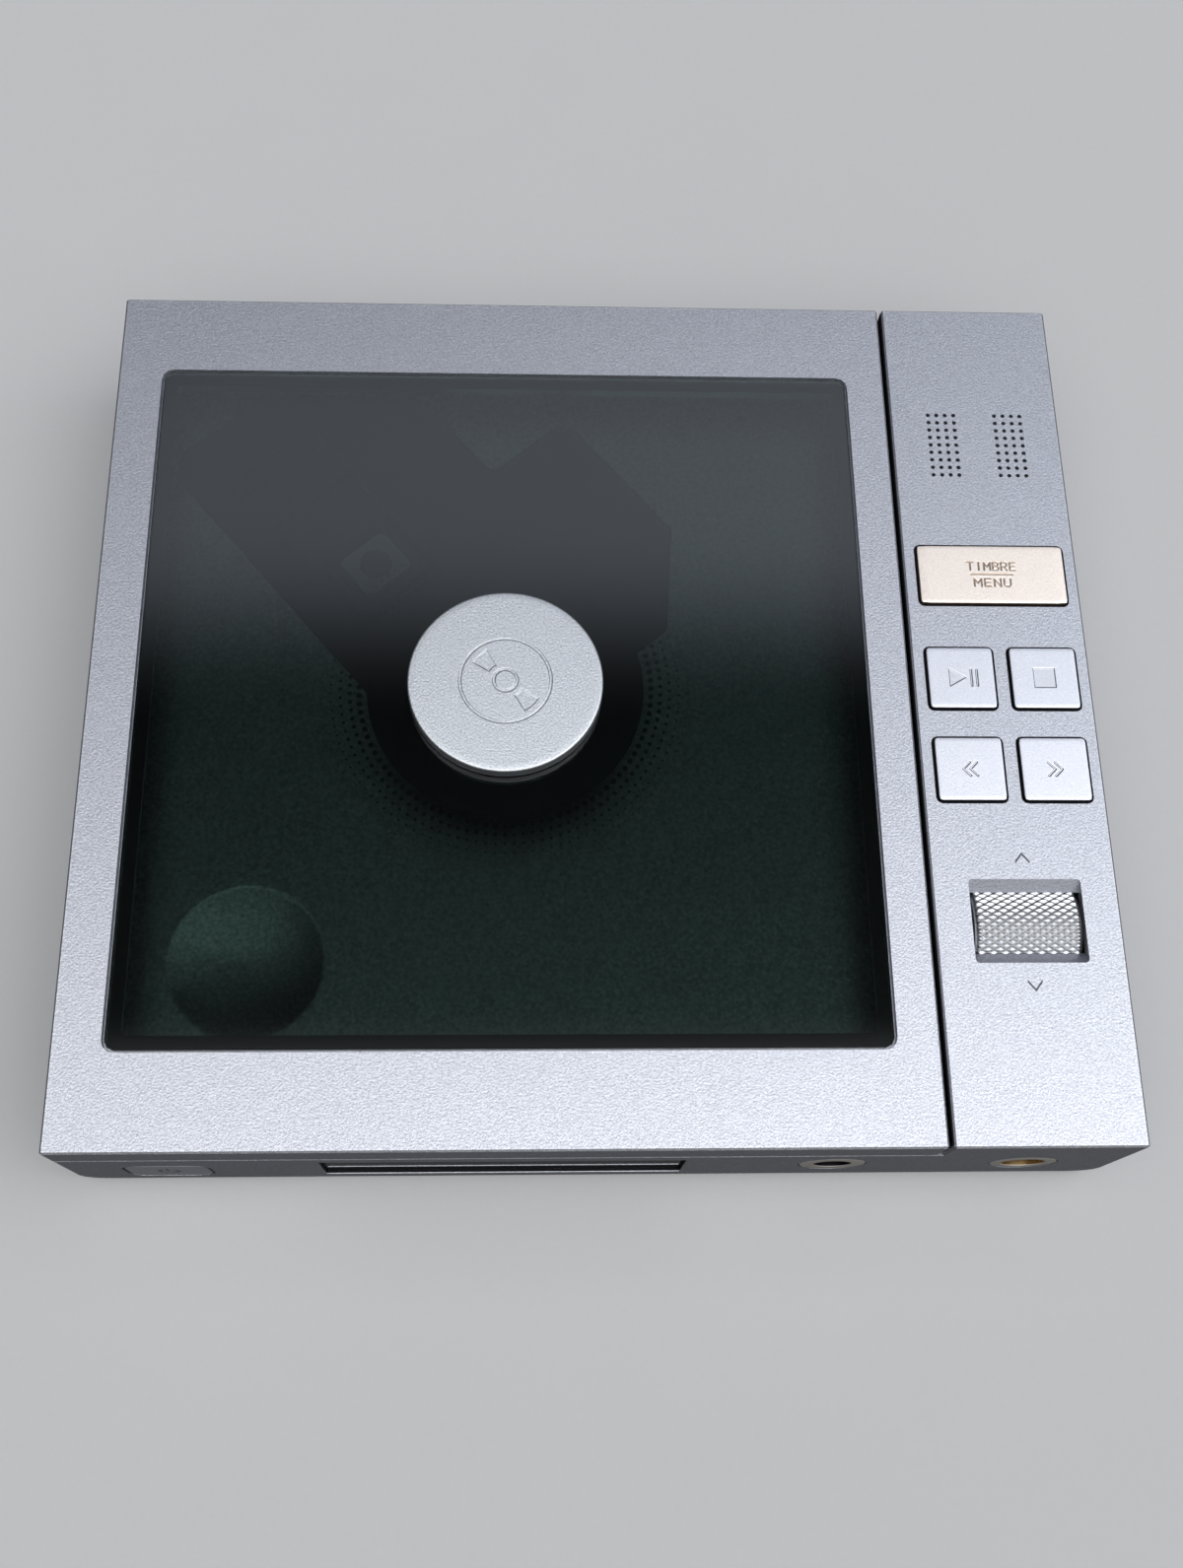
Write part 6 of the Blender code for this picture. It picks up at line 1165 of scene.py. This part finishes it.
@dataclass
class Keys(Assembly):
    """Metal keys with sunk signs: five on the column and the power key in the front."""

    corner: float = 0.55
    edge: float = 0.14
    flange: float = 0.6
    flange_thickness: float = 1.0
    roof: float = 2.3
    stem: float = 1.5
    depth: float = 0.12
    pitch: float = 0.055
    wall: float = 0.17
    letter_wall: float = 0.11
    gap: float = 0.3
    trim: float = 0.15
    sink: float = 0.2
    opening_corner: float = 1.1
    # heights below the column top of the painted-shade sheet in each key's gap
    gap_shade_span: tuple[float, float] = (-1.2, -0.3)
    floor_shade: tuple[float, float] = (0.35, 0.85)
    fine: tuple[float, float] = (3.1, 2.1)
    menu_fine: tuple[float, float] = (5.0, 2.6)
    power_fine: tuple[float, float] = (2.1, 2.4)
    power_corner: float = 2.5
    power_roof: float = 2.5
    power_arc: float = 1.55
    power_ends: tuple[float, float] = (math.radians(125), math.radians(415))
    power_line: float = 0.36

    def build(self) -> None:
        """Makes the column keys, black sheets of painted shade in the gaps round them, and the power key."""
        gap_shades = []
        column = Box("housing").top
        for name, sign in key_signs().items():
            menu = name == "menu_key"
            box = Box(name)
            size = box.size[:2] - 2 * (self.flange + self.trim)
            top = box.top - self.sink
            fine = self.menu_fine if menu else self.fine
            roof = self.roof - self.sink
            shape, level = self.key(size, self.corner, top - box.bottom, fine, sign, roof, menu)
            shape = shape.moved(box.foot + (0, 0, top))
            material = "champagne" if menu else "key_silver"
            slot = "champagne_aluminium" if menu else "silver_aluminium"
            self.piece(f"{name}_cap", shape, material, f"{name}_body", slot, [name], level)
            # black sheet down in the gap round each key: painted shade
            outer = rectangle(*(size + 2 * (self.gap + self.trim) - WELD), self.opening_corner)
            inner = rectangle(*(size + self.gap / 3), self.corner + self.gap / 6)
            gap_shades.append(slab([outer, inner], *(column + height for height in self.gap_shade_span)).moved(box.foot))
        self.piece("key_gap_shades", joined(gap_shades), "black", Body.PLAYER, "rubber")
        self.power()

    def power(self) -> None:
        """Power key in the front wall: the same key, stood up to face the front."""
        box = Box("power_key")
        size = box.size[[0, 2]] - 2 * (self.flange + self.trim)
        arc = self.power_arc * rays(np.linspace(*self.power_ends, 24))
        sign = any_of([along(line, self.power_line) for line in (arc, [(0, 0.5), (0, 2.1)])])
        shape, level = self.key(size, self.power_corner, box.size[1], self.power_fine, sign, self.power_roof)
        shape = shape.upright().moved((box.centre[0], box.low[1], box.centre[2]))
        slot = "silver_aluminium"
        self.piece("power_key_cap", shape, "key_silver", Body.POWER, slot, ["power_key"], level)

    def spread(self, half: float, fine: float) -> np.ndarray:
        """Grid lines across a key: close at its edges and over its sign, wide between.

        Args:
            half: Half the key's size.
            fine: Half size of the area with close lines.

        Returns:
            Places of the lines.
        """
        edge = half - self.edge * (1 - np.cos(np.linspace(0, math.pi / 2, 6)))
        sign = np.arange(0, fine, self.pitch)
        between = np.linspace(fine, half - self.edge, 6)[:-1]
        positive = np.unique(np.round(np.concatenate([sign, between, edge]), 5))
        return np.concatenate([-positive[:0:-1], positive])

    def key(
        self, size: np.ndarray, radius: float, tall: float, fine: tuple[float, float], sign: Relief,
        roof: float, filled_sign: bool = False,
    ) -> tuple[Shape, np.ndarray]:
        """Key with its top at height 0: a net over a rounded rectangle, lowered at the edges and in the sign.

        A place in a corner square is drawn in towards the corner's middle, so that squares become arcs.
        Depth below the top is a quarter circle over the edge's width, plus the sign's depth.

        Args:
            size: Size across and along.
            radius: Corner radius.
            tall: Height with its flange and stem.
            fine: Half sizes of the area with close lines.
            sign: Distance to the sign's edge.
            roof: Height of the cap above the flange.
            filled_sign: The sign's floor takes strong painted shade too, not only its outline.

        Returns:
            The closed key, and for each point its painted shade level: 1, or less along the sign's outline
            and down the sides.
        """
        half = size / 2
        xs, ys = (self.spread(*pair) for pair in zip(half, fine))
        flat = np.stack(np.meshgrid(xs, ys, indexing="ij"), axis=-1)
        inside = np.min(half - np.abs(flat), axis=-1)
        over = np.abs(flat) - (half - radius)
        corner = np.all(over > 0, axis=-1)[..., None]
        squeeze = over.max(axis=-1) / np.maximum(np.hypot(over[..., 0], over[..., 1]), 1e-9)
        flat = np.where(corner, np.sign(flat) * (half - radius + over * squeeze[..., None]), flat)
        share = np.clip(1 - inside / self.edge, 0, 1)
        wall = self.letter_wall if filled_sign else self.wall
        sunk, outline = engraved(sign, wall, flat[..., 0], flat[..., 1])
        z = -self.edge * (1 - np.sqrt(np.maximum(1 - share**2, 0))) - self.depth * sunk
        top = grid(np.concatenate([flat, z[..., None]], axis=-1))
        nx, ny = len(xs), len(ys)
        ring = top.points[np.concatenate([
            np.arange(nx) * ny, (nx - 1) * ny + np.arange(1, ny), np.arange(nx - 2, -1, -1) * ny + ny - 1,
            np.arange(ny - 2, 0, -1),
        ])]  # the net's rim, once round
        wide = ring[:, :2] * (1 + (self.flange + self.trim) / half)
        bottom = -roof - self.flange_thickness
        rings = [
            ring, ring_at(ring[:, :2], -self.edge - self.wall / 4), ring_at(ring[:, :2], -roof),
            ring_at(wide, -roof), ring_at(wide, bottom),
        ]
        side = loft(rings, open_start=True)
        stem = lathe([
            (0, -tall), (self.stem - 0.2, -tall), (self.stem, 0.1 - tall), (self.stem, bottom + 0.1),
            (0, bottom + 0.1),
        ], 32)
        # painted shade: dark along the sign's walls, over its floor by floor_shade, and the full shade colour
        # down the key's sides
        shade = 1 - np.maximum(outline, self.floor_shade[filled_sign] * sunk)
        beside = [1.0] + [0.0] * (len(rings) - 1)
        level = np.concatenate([shade.ravel(), np.tile(beside, len(ring)), np.zeros(len(stem.points))])
        return joined([top, side, stem]), level


@dataclass
class Wheel(Assembly):
    """Volume wheel with a cut diamond knurl."""

    rows: int = 48
    pitch: float = 1.91
    depth: float = 0.36
    cuts: int = 8
    rim: float = 0.35
    shaft: float = 1.2
    width: float = 17.0
    fade: float = 0.25
    steepness: float = 1.35
    recess: float = 1.2
    end_shade_level: float = 0.6

    def build(self) -> None:
        """Makes the wheel: radius over turn and width, less the knurl.

        The knurl's height is the lesser of two triangle waves that run aslant, one each way, so that every
        cell between two grooves is a small four-sided point with a flat tip.
        """
        box = Box("volume_wheel")
        radius, half = box.size[2] / 2, self.width / 2
        turn = full_turn(self.rows * self.cuts)[:, None]
        edge = half - self.rim
        x = np.linspace(-edge, edge, math.ceil(2 * edge / self.pitch * self.cuts))
        phases = [x / self.pitch + way * self.rows * turn / TURN for way in (1, -1)]
        waves = [1 - np.abs(2 * (phase % 1) - 1) for phase in phases]
        level = np.clip(self.steepness * np.minimum(*waves), 0, 1)
        level = level * np.clip((edge - np.abs(x)) / self.fade, 0, 1)
        ends = np.array([(0, -box.radius), (self.shaft, -box.radius), (self.shaft, -half),
                         (radius - self.recess, -half), (radius - self.depth - self.rim, -half)])
        end_radii = ends[:, 0] + 0 * turn
        radii = np.concatenate([end_radii, radius - self.depth * (1 - level), end_radii[:, ::-1]], axis=1)
        places = np.concatenate([ends[:, 1], x, -ends[::-1, 1]]) + 0 * turn
        points = np.stack([places, radii * np.cos(turn), radii * np.sin(turn)], axis=-1)
        # painted shade: the knurl's height also sets its shade level, dark in the grooves; the end faces take
        # end_shade_level
        flat = np.full(end_radii.shape, self.end_shade_level)
        values = np.concatenate([flat, level, flat], axis=1)
        shape = grid(points, wrap_u=True).moved(box.centre)
        self.piece("knurled_wheel", shape, "knurl", Body.WHEEL, "knurled_steel", ["volume_wheel"], values)


@dataclass
class Marks(Assembly):
    """Arrow marks before and behind the wheel."""

    width: float = 2.35
    height: float = 1.45
    line: float = 0.36
    stretch: float = 1.3
    thickness: float = 0.012
    away: tuple[float, float] = (10.55, -10.7)

    def build(self) -> None:
        """Makes the marks: a bent bar each, as a thin plate on the column."""
        place = Box("volume_wheel").foot
        top = Box("housing").top
        plates = []
        for away in self.away:
            way = math.copysign(1, away)
            half, rise, wide = self.width / 2, way * self.height, way * self.line * self.stretch
            outline = np.array([(-half, 0), (0, rise), (half, 0), (half, -wide), (0, rise - wide),
                                (-half, -wide)])
            plate = slab([outline if way < 0 else outline[::-1]], top - self.thickness, top + self.thickness)
            plates.append(plate.moved(place + (0, away - rise / 2, 0)))
        self.piece("wheel_marks", joined(plates), "engraving", Body.PLAYER, "silver_aluminium")


@dataclass
class Trims(Assembly):
    """Dark frame in the display opening, a black strip of painted shade in the slit beside the lid, and
    darker skins of painted shade on the ramps at the wheel.
    """

    strip: float = 0.2
    strip_below: float = 0.25
    strip_inset: float = 0.6
    slit: float = 0.8
    rebate: float = 0.7
    corner: float = 0.3
    frame_width: float = 0.12
    lip: float = 0.13
    seat: float = 0.57
    opening: tuple[float, float] = (18.0, 13.7)
    ramp: tuple[float, float] = (1.85, 1.4)
    skin: float = 0.03
    below: float = 0.03

    def build(self) -> None:
        """Makes the display's frame, the painted-shade strip in the slit between lid and column, and both
        ramp faces in a darker painted-shade copy of the silver.
        """
        housing, pane, lid = Box("housing"), Box("display_pane"), Box("lid_frame")
        size = pane.size[[0, 2]] - 2 * self.rebate
        outlines = [rectangle(*(size - WELD), self.corner),
                    rectangle(*(size - 2 * self.frame_width), self.corner / 2)]
        surround = slab(outlines, -self.seat, -self.lip).upright()
        surround = surround.moved((pane.centre[0], housing.low[1], pane.centre[2]))
        self.piece("display_surround", surround, "black", Body.PLAYER, "mechanism_plastic")
        # black strip lining the column's wall in the slit beside the lid: painted shade
        wall = lid.high[0] + self.slit
        front, rear = lid.low[1] + self.strip_inset, lid.high[1] - self.strip_inset
        outline = np.array([(wall - self.strip, front), (wall - WELD, front), (wall - WELD, rear),
                            (wall - self.strip, rear)])
        strip = slab([outline], lid.bottom, housing.top - self.strip_below)
        self.piece("column_slit_shade", strip, "black", Body.PLAYER, "mechanism_plastic")
        # darker skins over both ramps: painted shade on the slopes
        place = Box("volume_wheel").foot + (0, 0, housing.top)
        ramps = [self.face(way).moved(place) for way in (1, -1)]
        self.piece("wheel_ramps", joined(ramps), "ramp", Body.PLAYER, "silver_aluminium")

    def face(self, way: float) -> Shape:
        """Thin plate of painted shade on one ramp: its section, lifted off the slope by the skin, runs across
        the opening.

        Args:
            way: 1 for the rear ramp, -1 for the front one.

        Returns:
            The closed plate, height 0 at the top of the body.
        """
        ramp = np.array(self.ramp)
        slope = ramp / math.hypot(*ramp)
        lift = self.skin * slope[::-1] * (-1, 1)
        head = np.array([self.opening[1] / 2, 0])
        foot, head = head - ramp, head - self.below * ramp
        section = np.array([foot, head, head + lift, foot + lift]) * (way, 1)
        reach = self.opening[0] / 2 - WELD
        return loft([np.column_stack([np.full(4, x), section]) for x in (-reach, reach)])


@dataclass
class Sockets(Assembly):
    """Rings, liners and sleeves of the two front sockets."""

    wall: float = 2.2
    bevel: float = 0.07
    set_back: float = 0.02
    liner: float = 0.3
    reach: float = 7.5
    play: float = 0.05
    lead: float = 0.35
    chamfer: float = 0.1
    ribs: int = 18
    rib_walls: tuple[float, float] = (0.25, 0.13)

    def build(self) -> None:
        """Makes a ring with an eased mouth, a liner behind it and a sleeve further in, for each socket."""
        for size, mouth, bore, lining, material, slot in (
            ("small", 3.0, 1.8, "black", "socket", "socket_plastic"),
            ("large", 3.5, 2.25, "gold", "gold", "socket_metal"),
        ):
            node = f"{size}_socket_ring"
            box = Box(node)
            ring = lathe([
                (box.radius, 0, 0.12), (box.radius, -self.wall, 0), (mouth, -self.wall, 0),
                (mouth, -self.bevel, 0), (mouth + self.bevel, 0, 0),
            ], 96, ring=True)
            outer, inner = mouth - self.set_back, mouth - self.liner
            front, back = -self.bevel - self.set_back, -self.wall + self.set_back
            liner = lathe([(outer, front), (outer, back), (inner, back), (inner, front)], 72, ring=True)
            for part, shape, finish, part_slot, replaced in (
                ("ring", ring, "ring", "socket_metal", [node]),
                ("liner", liner, lining, slot, []),
                ("sleeve", self.sleeve(bore - self.play), material, slot, []),
            ):
                shape = shape.upright().moved((box.centre[0], box.low[1], box.centre[2]))
                self.piece(f"{size}_jack_{part}", shape, finish, Body.PLAYER, part_slot, replaced)

    def sleeve(self, outer: float) -> Shape:
        """Ribbed sleeve: its inner radius steps in and out along its length.

        Args:
            outer: Its outer radius.

        Returns:
            The closed sleeve.
        """
        start, end = -self.wall - self.lead, -self.wall - self.reach
        places = np.linspace(start, end, self.ribs + 1)
        ribs = [(outer - self.rib_walls[index % 2], place) for index, place in enumerate(places)]
        mouth = [(outer, start - self.chamfer), (outer - self.chamfer, start)]
        return lathe([(outer, end), *mouth, *ribs], 48, ring=True)


@dataclass
class Underside(Assembly):
    """Feet and cover screws."""

    groove: float = 0.35
    head: float = 1.85
    rim: float = 0.02
    crown: float = 0.1
    cross: tuple[float, float, float] = (0.28, 1.05, 0.5)
    cross_slope: tuple[float, float] = (0.08, 0.1)
    screw_places: tuple[tuple[float, float], ...] = (
        (30.575, 5.8), (105.275, 5.8), (156.99, 5.8), (8.0, 144.2), (82.495, 144.2), (156.99, 144.2),
    )

    def build(self) -> None:
        """Makes the feet and the screws."""
        for corner in ("front_left", "front_right", "rear_left", "rear_right"):
            box = Box(f"foot_{corner}")
            radius, low = box.radius, box.bottom
            foot = lathe([
                (0, box.top, 0), (radius, box.top, 0.1), (radius, low, 0.45), (radius - 1.6, low, 0.1),
                (radius - 1.9, low + self.groove, 0.1), (radius - 2.5, low + self.groove, 0.1),
                (radius - 2.8, low, 0.1), (0, low, 0),
            ], 96).moved(box.foot)
            self.piece(f"rubber_foot_{corner}", foot, "rubber", Body.PLAYER, "rubber", [f"foot_{corner}"])
        start = Box("housing").low * (1, 1, 0) + (0, 0, Box("bottom_cover").bottom)
        screws = [self.screw().moved(start + (x, y, 0)) for x, y in self.screw_places]
        self.piece("cover_screws", joined(screws), "steel", Body.PLAYER, "bright_steel")

    def screw(self) -> Shape:
        """Countersunk screw, head down: depth over radius and turn, with a cross recess.

        Returns:
            The closed screw, the underside of its head at height 0.
        """
        turn = full_turn(96)[:, None]
        radii = np.linspace(0, self.head - 0.1, 26) + 0 * turn
        arm = np.minimum(np.abs(radii * np.cos(turn)), np.abs(radii * np.sin(turn)))
        half, reach, depth = self.cross
        beside, end = self.cross_slope
        inside = np.clip((half - arm) / beside, 0, 1) * np.clip((reach - radii) / end, 0, 1)
        heights = self.rim + self.crown * (radii / self.head) ** 2 + depth * inside
        shank = np.array([(self.head, 0.2), (0.75, 0.95), (0.75, 4.5), (0.0, 4.9)])
        return spun(np.hstack([radii, shank[:, 0] + 0 * turn]), np.hstack([heights, shank[:, 1] + 0 * turn]))


@dataclass
class Spindle(Assembly):
    """Hub, pad and pickup lens that show when the lid is open."""

    pad_width: float = 3.2
    spigot: float = 7.4
    magnet: float = 4.4
    lens_share: float = 0.86
    lens_rise: float = 0.7

    def build(self) -> None:
        """Makes the hub, its pad and the lens."""
        hub, pad, lens = Box("spindle_hub"), Box("hub_pad"), Box("objective_lens")
        hub_shape = self.hub(hub).moved(hub.foot)
        self.piece("hub_table", hub_shape, "plastic", Body.SPINDLE, "mechanism_plastic", ["spindle_hub"])
        outer, inner = pad.radius, pad.radius - self.pad_width
        section = [(inner, pad.top, 0.12), (inner, pad.bottom, 0), (outer, pad.bottom, 0),
                   (outer, pad.top, 0.12)]
        ring = lathe(section, ring=True).moved(hub.foot)
        self.piece("friction_ring", ring, "rubber", Body.SPINDLE, "rubber", ["hub_pad"])
        lens_shape = self.lens(lens).moved(lens.foot)
        self.piece("pickup_lens", lens_shape, "lens", Body.LENS, "lens_glass", ["objective_lens"])

    def hub(self, box: Box) -> Shape:
        """Hub: table, groove for the pad, tapered spigot with a seat for its magnet.

        Args:
            box: Box of the hub.

        Returns:
            The closed hub.
        """
        low, high, radius = box.bottom, box.top, box.radius
        table, seat, spigot, magnet = low + 2.8, high - 1.3, self.spigot, self.magnet
        groove, under = table - 0.6, table - 1.4
        return lathe([
            (0, seat, 0), (magnet, seat, 0), (magnet, high, 0.1), (5.6, high, 0.3),
            (spigot, high - 1.2, 0.2), (spigot, table, 0), (10.2, table, 0.08), (10.2, groove, 0),
            (13.8, groove, 0), (13.8, table, 0.08), (radius, table, 0.2), (radius, under, 0.2),
            (5.0, under, 0), (5.0, low, 0.2), (0, low, 0),
        ])

    def lens(self, box: Box) -> Shape:
        """Objective lens: a steep cap above and a flat rim below it.

        Args:
            box: Box of the lens.

        Returns:
            The closed lens.
        """
        share = np.linspace(0, 1, 14)
        heights = box.top - self.lens_rise * (1 - np.sqrt(1 - 0.95 * share**2))
        upper = np.column_stack([self.lens_share * box.radius * share, heights])
        return lathe([*upper, (box.radius, heights[-1]), (box.radius, box.bottom), (0, box.bottom)], 64)


# Studio


@dataclass
class Studio:
    """Floor, light and camera, in metres."""

    floor_size: float = 8.0
    focal: float = 37.95
    sensor: float = 36.0
    clip: tuple[float, float] = (0.01, 50.0)
    eye: tuple[float, float, float] = (-0.01225, -0.11006, 0.27624)
    right: tuple[float, float, float] = (0.99908441, -0.01249648, 0.04091679)
    down: tuple[float, float, float] = (0.00267606, -0.93626342, -0.35128856)
    ahead: tuple[float, float, float] = (0.04269876, 0.35107642, -0.93537274)
    high: float = 2.95
    rear: float = 1.02
    before: float = 0.62
    low: float = 0.2
    low_rear: float = 0.05
    card: float = 0.03
    slant: float = 0.4
    floor_seen: Colour = (0.40, 0.405, 0.41)
    backdrop: Colour = (0.52, 0.525, 0.53)
    cool: Colour = (0.93, 0.99, 1.14)

    def build(self) -> None:
        """Makes the camera, the floor and the light."""
        self.camera()
        self.floor()
        self.sky()
        bpy.context.scene.view_settings.view_transform = "Standard"

    def camera(self) -> None:
        """Camera where the photograph was taken from."""
        data = bpy.data.cameras.new("camera")
        data.lens = self.focal
        data.sensor_width = self.sensor
        data.clip_start, data.clip_end = self.clip
        camera = bpy.data.objects.new("camera", data)
        bpy.context.scene.collection.objects.link(camera)
        axes = Matrix((self.right, [-v for v in self.down], [-v for v in self.ahead])).transposed()
        camera.matrix_world = Matrix.Translation(self.eye) @ axes.to_quaternion().to_matrix().to_4x4()
        bpy.context.scene.camera = camera

    def floor(self) -> None:
        """Plain pale floor with a faint grain."""
        line = np.linspace(-self.floor_size / 2, self.floor_size / 2, 9)
        x, y = np.meshgrid(line, line, indexing="ij")
        shape = grid(np.stack([x, y, 0 * x], axis=-1))
        mesh = bpy.data.meshes.new("floor")
        mesh.from_pydata(shape.points.tolist(), [], shape.faces)
        finish = FloorFinish("pale_floor", self.floor_seen, 0.85, 0.0, 900.0, 0.05, 0.02, relief=0.1)
        mesh.materials.append(finish.material())
        floor = bpy.data.objects.new("floor", mesh)
        bpy.context.scene.collection.objects.link(floor)

    def sky(self) -> None:
        """Soft light from all round by the slope of a direction towards the rear and across.

        It is brightest overhead, calmer high in front and towards the rear, low near the horizon in front
        and behind, and a dark card hangs where the front half of the lid's glass mirrors it. The camera
        itself sees a plain pale backdrop.
        """
        world = bpy.data.worlds.new("soft_light")
        bpy.context.scene.world = world
        world.use_nodes = True
        sheet = Sheet(world.node_tree)
        x, y, z = sheet.axes(sheet.add("TexCoord").outputs["Generated"])
        up = sheet.maths("MAXIMUM", z, 0.02)
        across, back = sheet.maths("DIVIDE", x, up), sheet.maths("DIVIDE", y, up)
        side = sheet.maths("ABSOLUTE", across)
        corner = sheet.maths("SUBTRACT", across, sheet.maths("MULTIPLY", back, self.slant))
        level = sheet.ramp(back, -0.05, 0.50, self.high, self.rear)
        for slope, lower, upper, at_lower, at_upper in (
            (back, -1.5, -1.0, self.low, 1.0),
            (back, -0.70, -0.15, self.before, 1.0),
            (back, 0.64, 0.84, 1.0, self.low_rear),
            (back, 1.3, 2.2, 1.0, 12.0),
            (side, 0.9, 2.6, 1.0, 0.3),
            (across, -0.5, 0.7, 0.96, 1.20),
            (corner, -0.75, -0.46, 0.3, 1.0),
        ):
            level = sheet.maths("MULTIPLY", level, sheet.ramp(slope, lower, upper, at_lower, at_upper))
        beside = sheet.ramp(side, 0.34, 0.47, 0.0, 1.0)
        behind = sheet.ramp(back, 0.40, 0.60, 0.0, 1.0)
        before = sheet.ramp(back, 0.12, 0.24, 1.0, 0.0)
        clear = sheet.ramp(sheet.fold("MAXIMUM", behind, before, beside), 0.0, 1.0, self.card, 1.0)
        tint = sheet.mixed(sheet.ramp(back, 0.0, 0.5, 0.0, 1.0), rgba((1.0, 1.0, 1.0)), rgba(self.cool))
        light = sheet.dimmed(tint, sheet.maths("MULTIPLY", level, clear))
        shown = sheet.mixed(sheet.seen(1.5), light, rgba(self.backdrop))
        sheet.feed(world.node_tree.nodes["Background"], {"Color": shown, "Strength": 1.0})


def dress_nodes(materials: dict[str, Material]) -> None:
    """Gives each CAD node that stays in view its finish.

    Args:
        materials: The player's materials.
    """
    for material, names in CAD_FINISHES.items():
        for name in names.split():
            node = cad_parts[name]
            if not node.material_slots:
                node.data.materials.append(materials[material])
            for slot in node.material_slots:
                slot.material = materials[material]
            log.info("%s: %s", name, material)


def main() -> None:
    """Builds the studio and every assembly in order."""
    logging.basicConfig(level=logging.INFO, format="%(message)s")
    Studio().build()
    materials = player_finishes()
    dress_nodes(materials)
    for assembly in (Glass, Puck, Deck, Keys, Wheel, Marks, Trims, Sockets, Underside, Spindle):
        made = assembly(materials)
        made.build()
        log.info("%s: %d pieces", assembly.__name__, made.count)


if __name__ == "__main__":
    main()
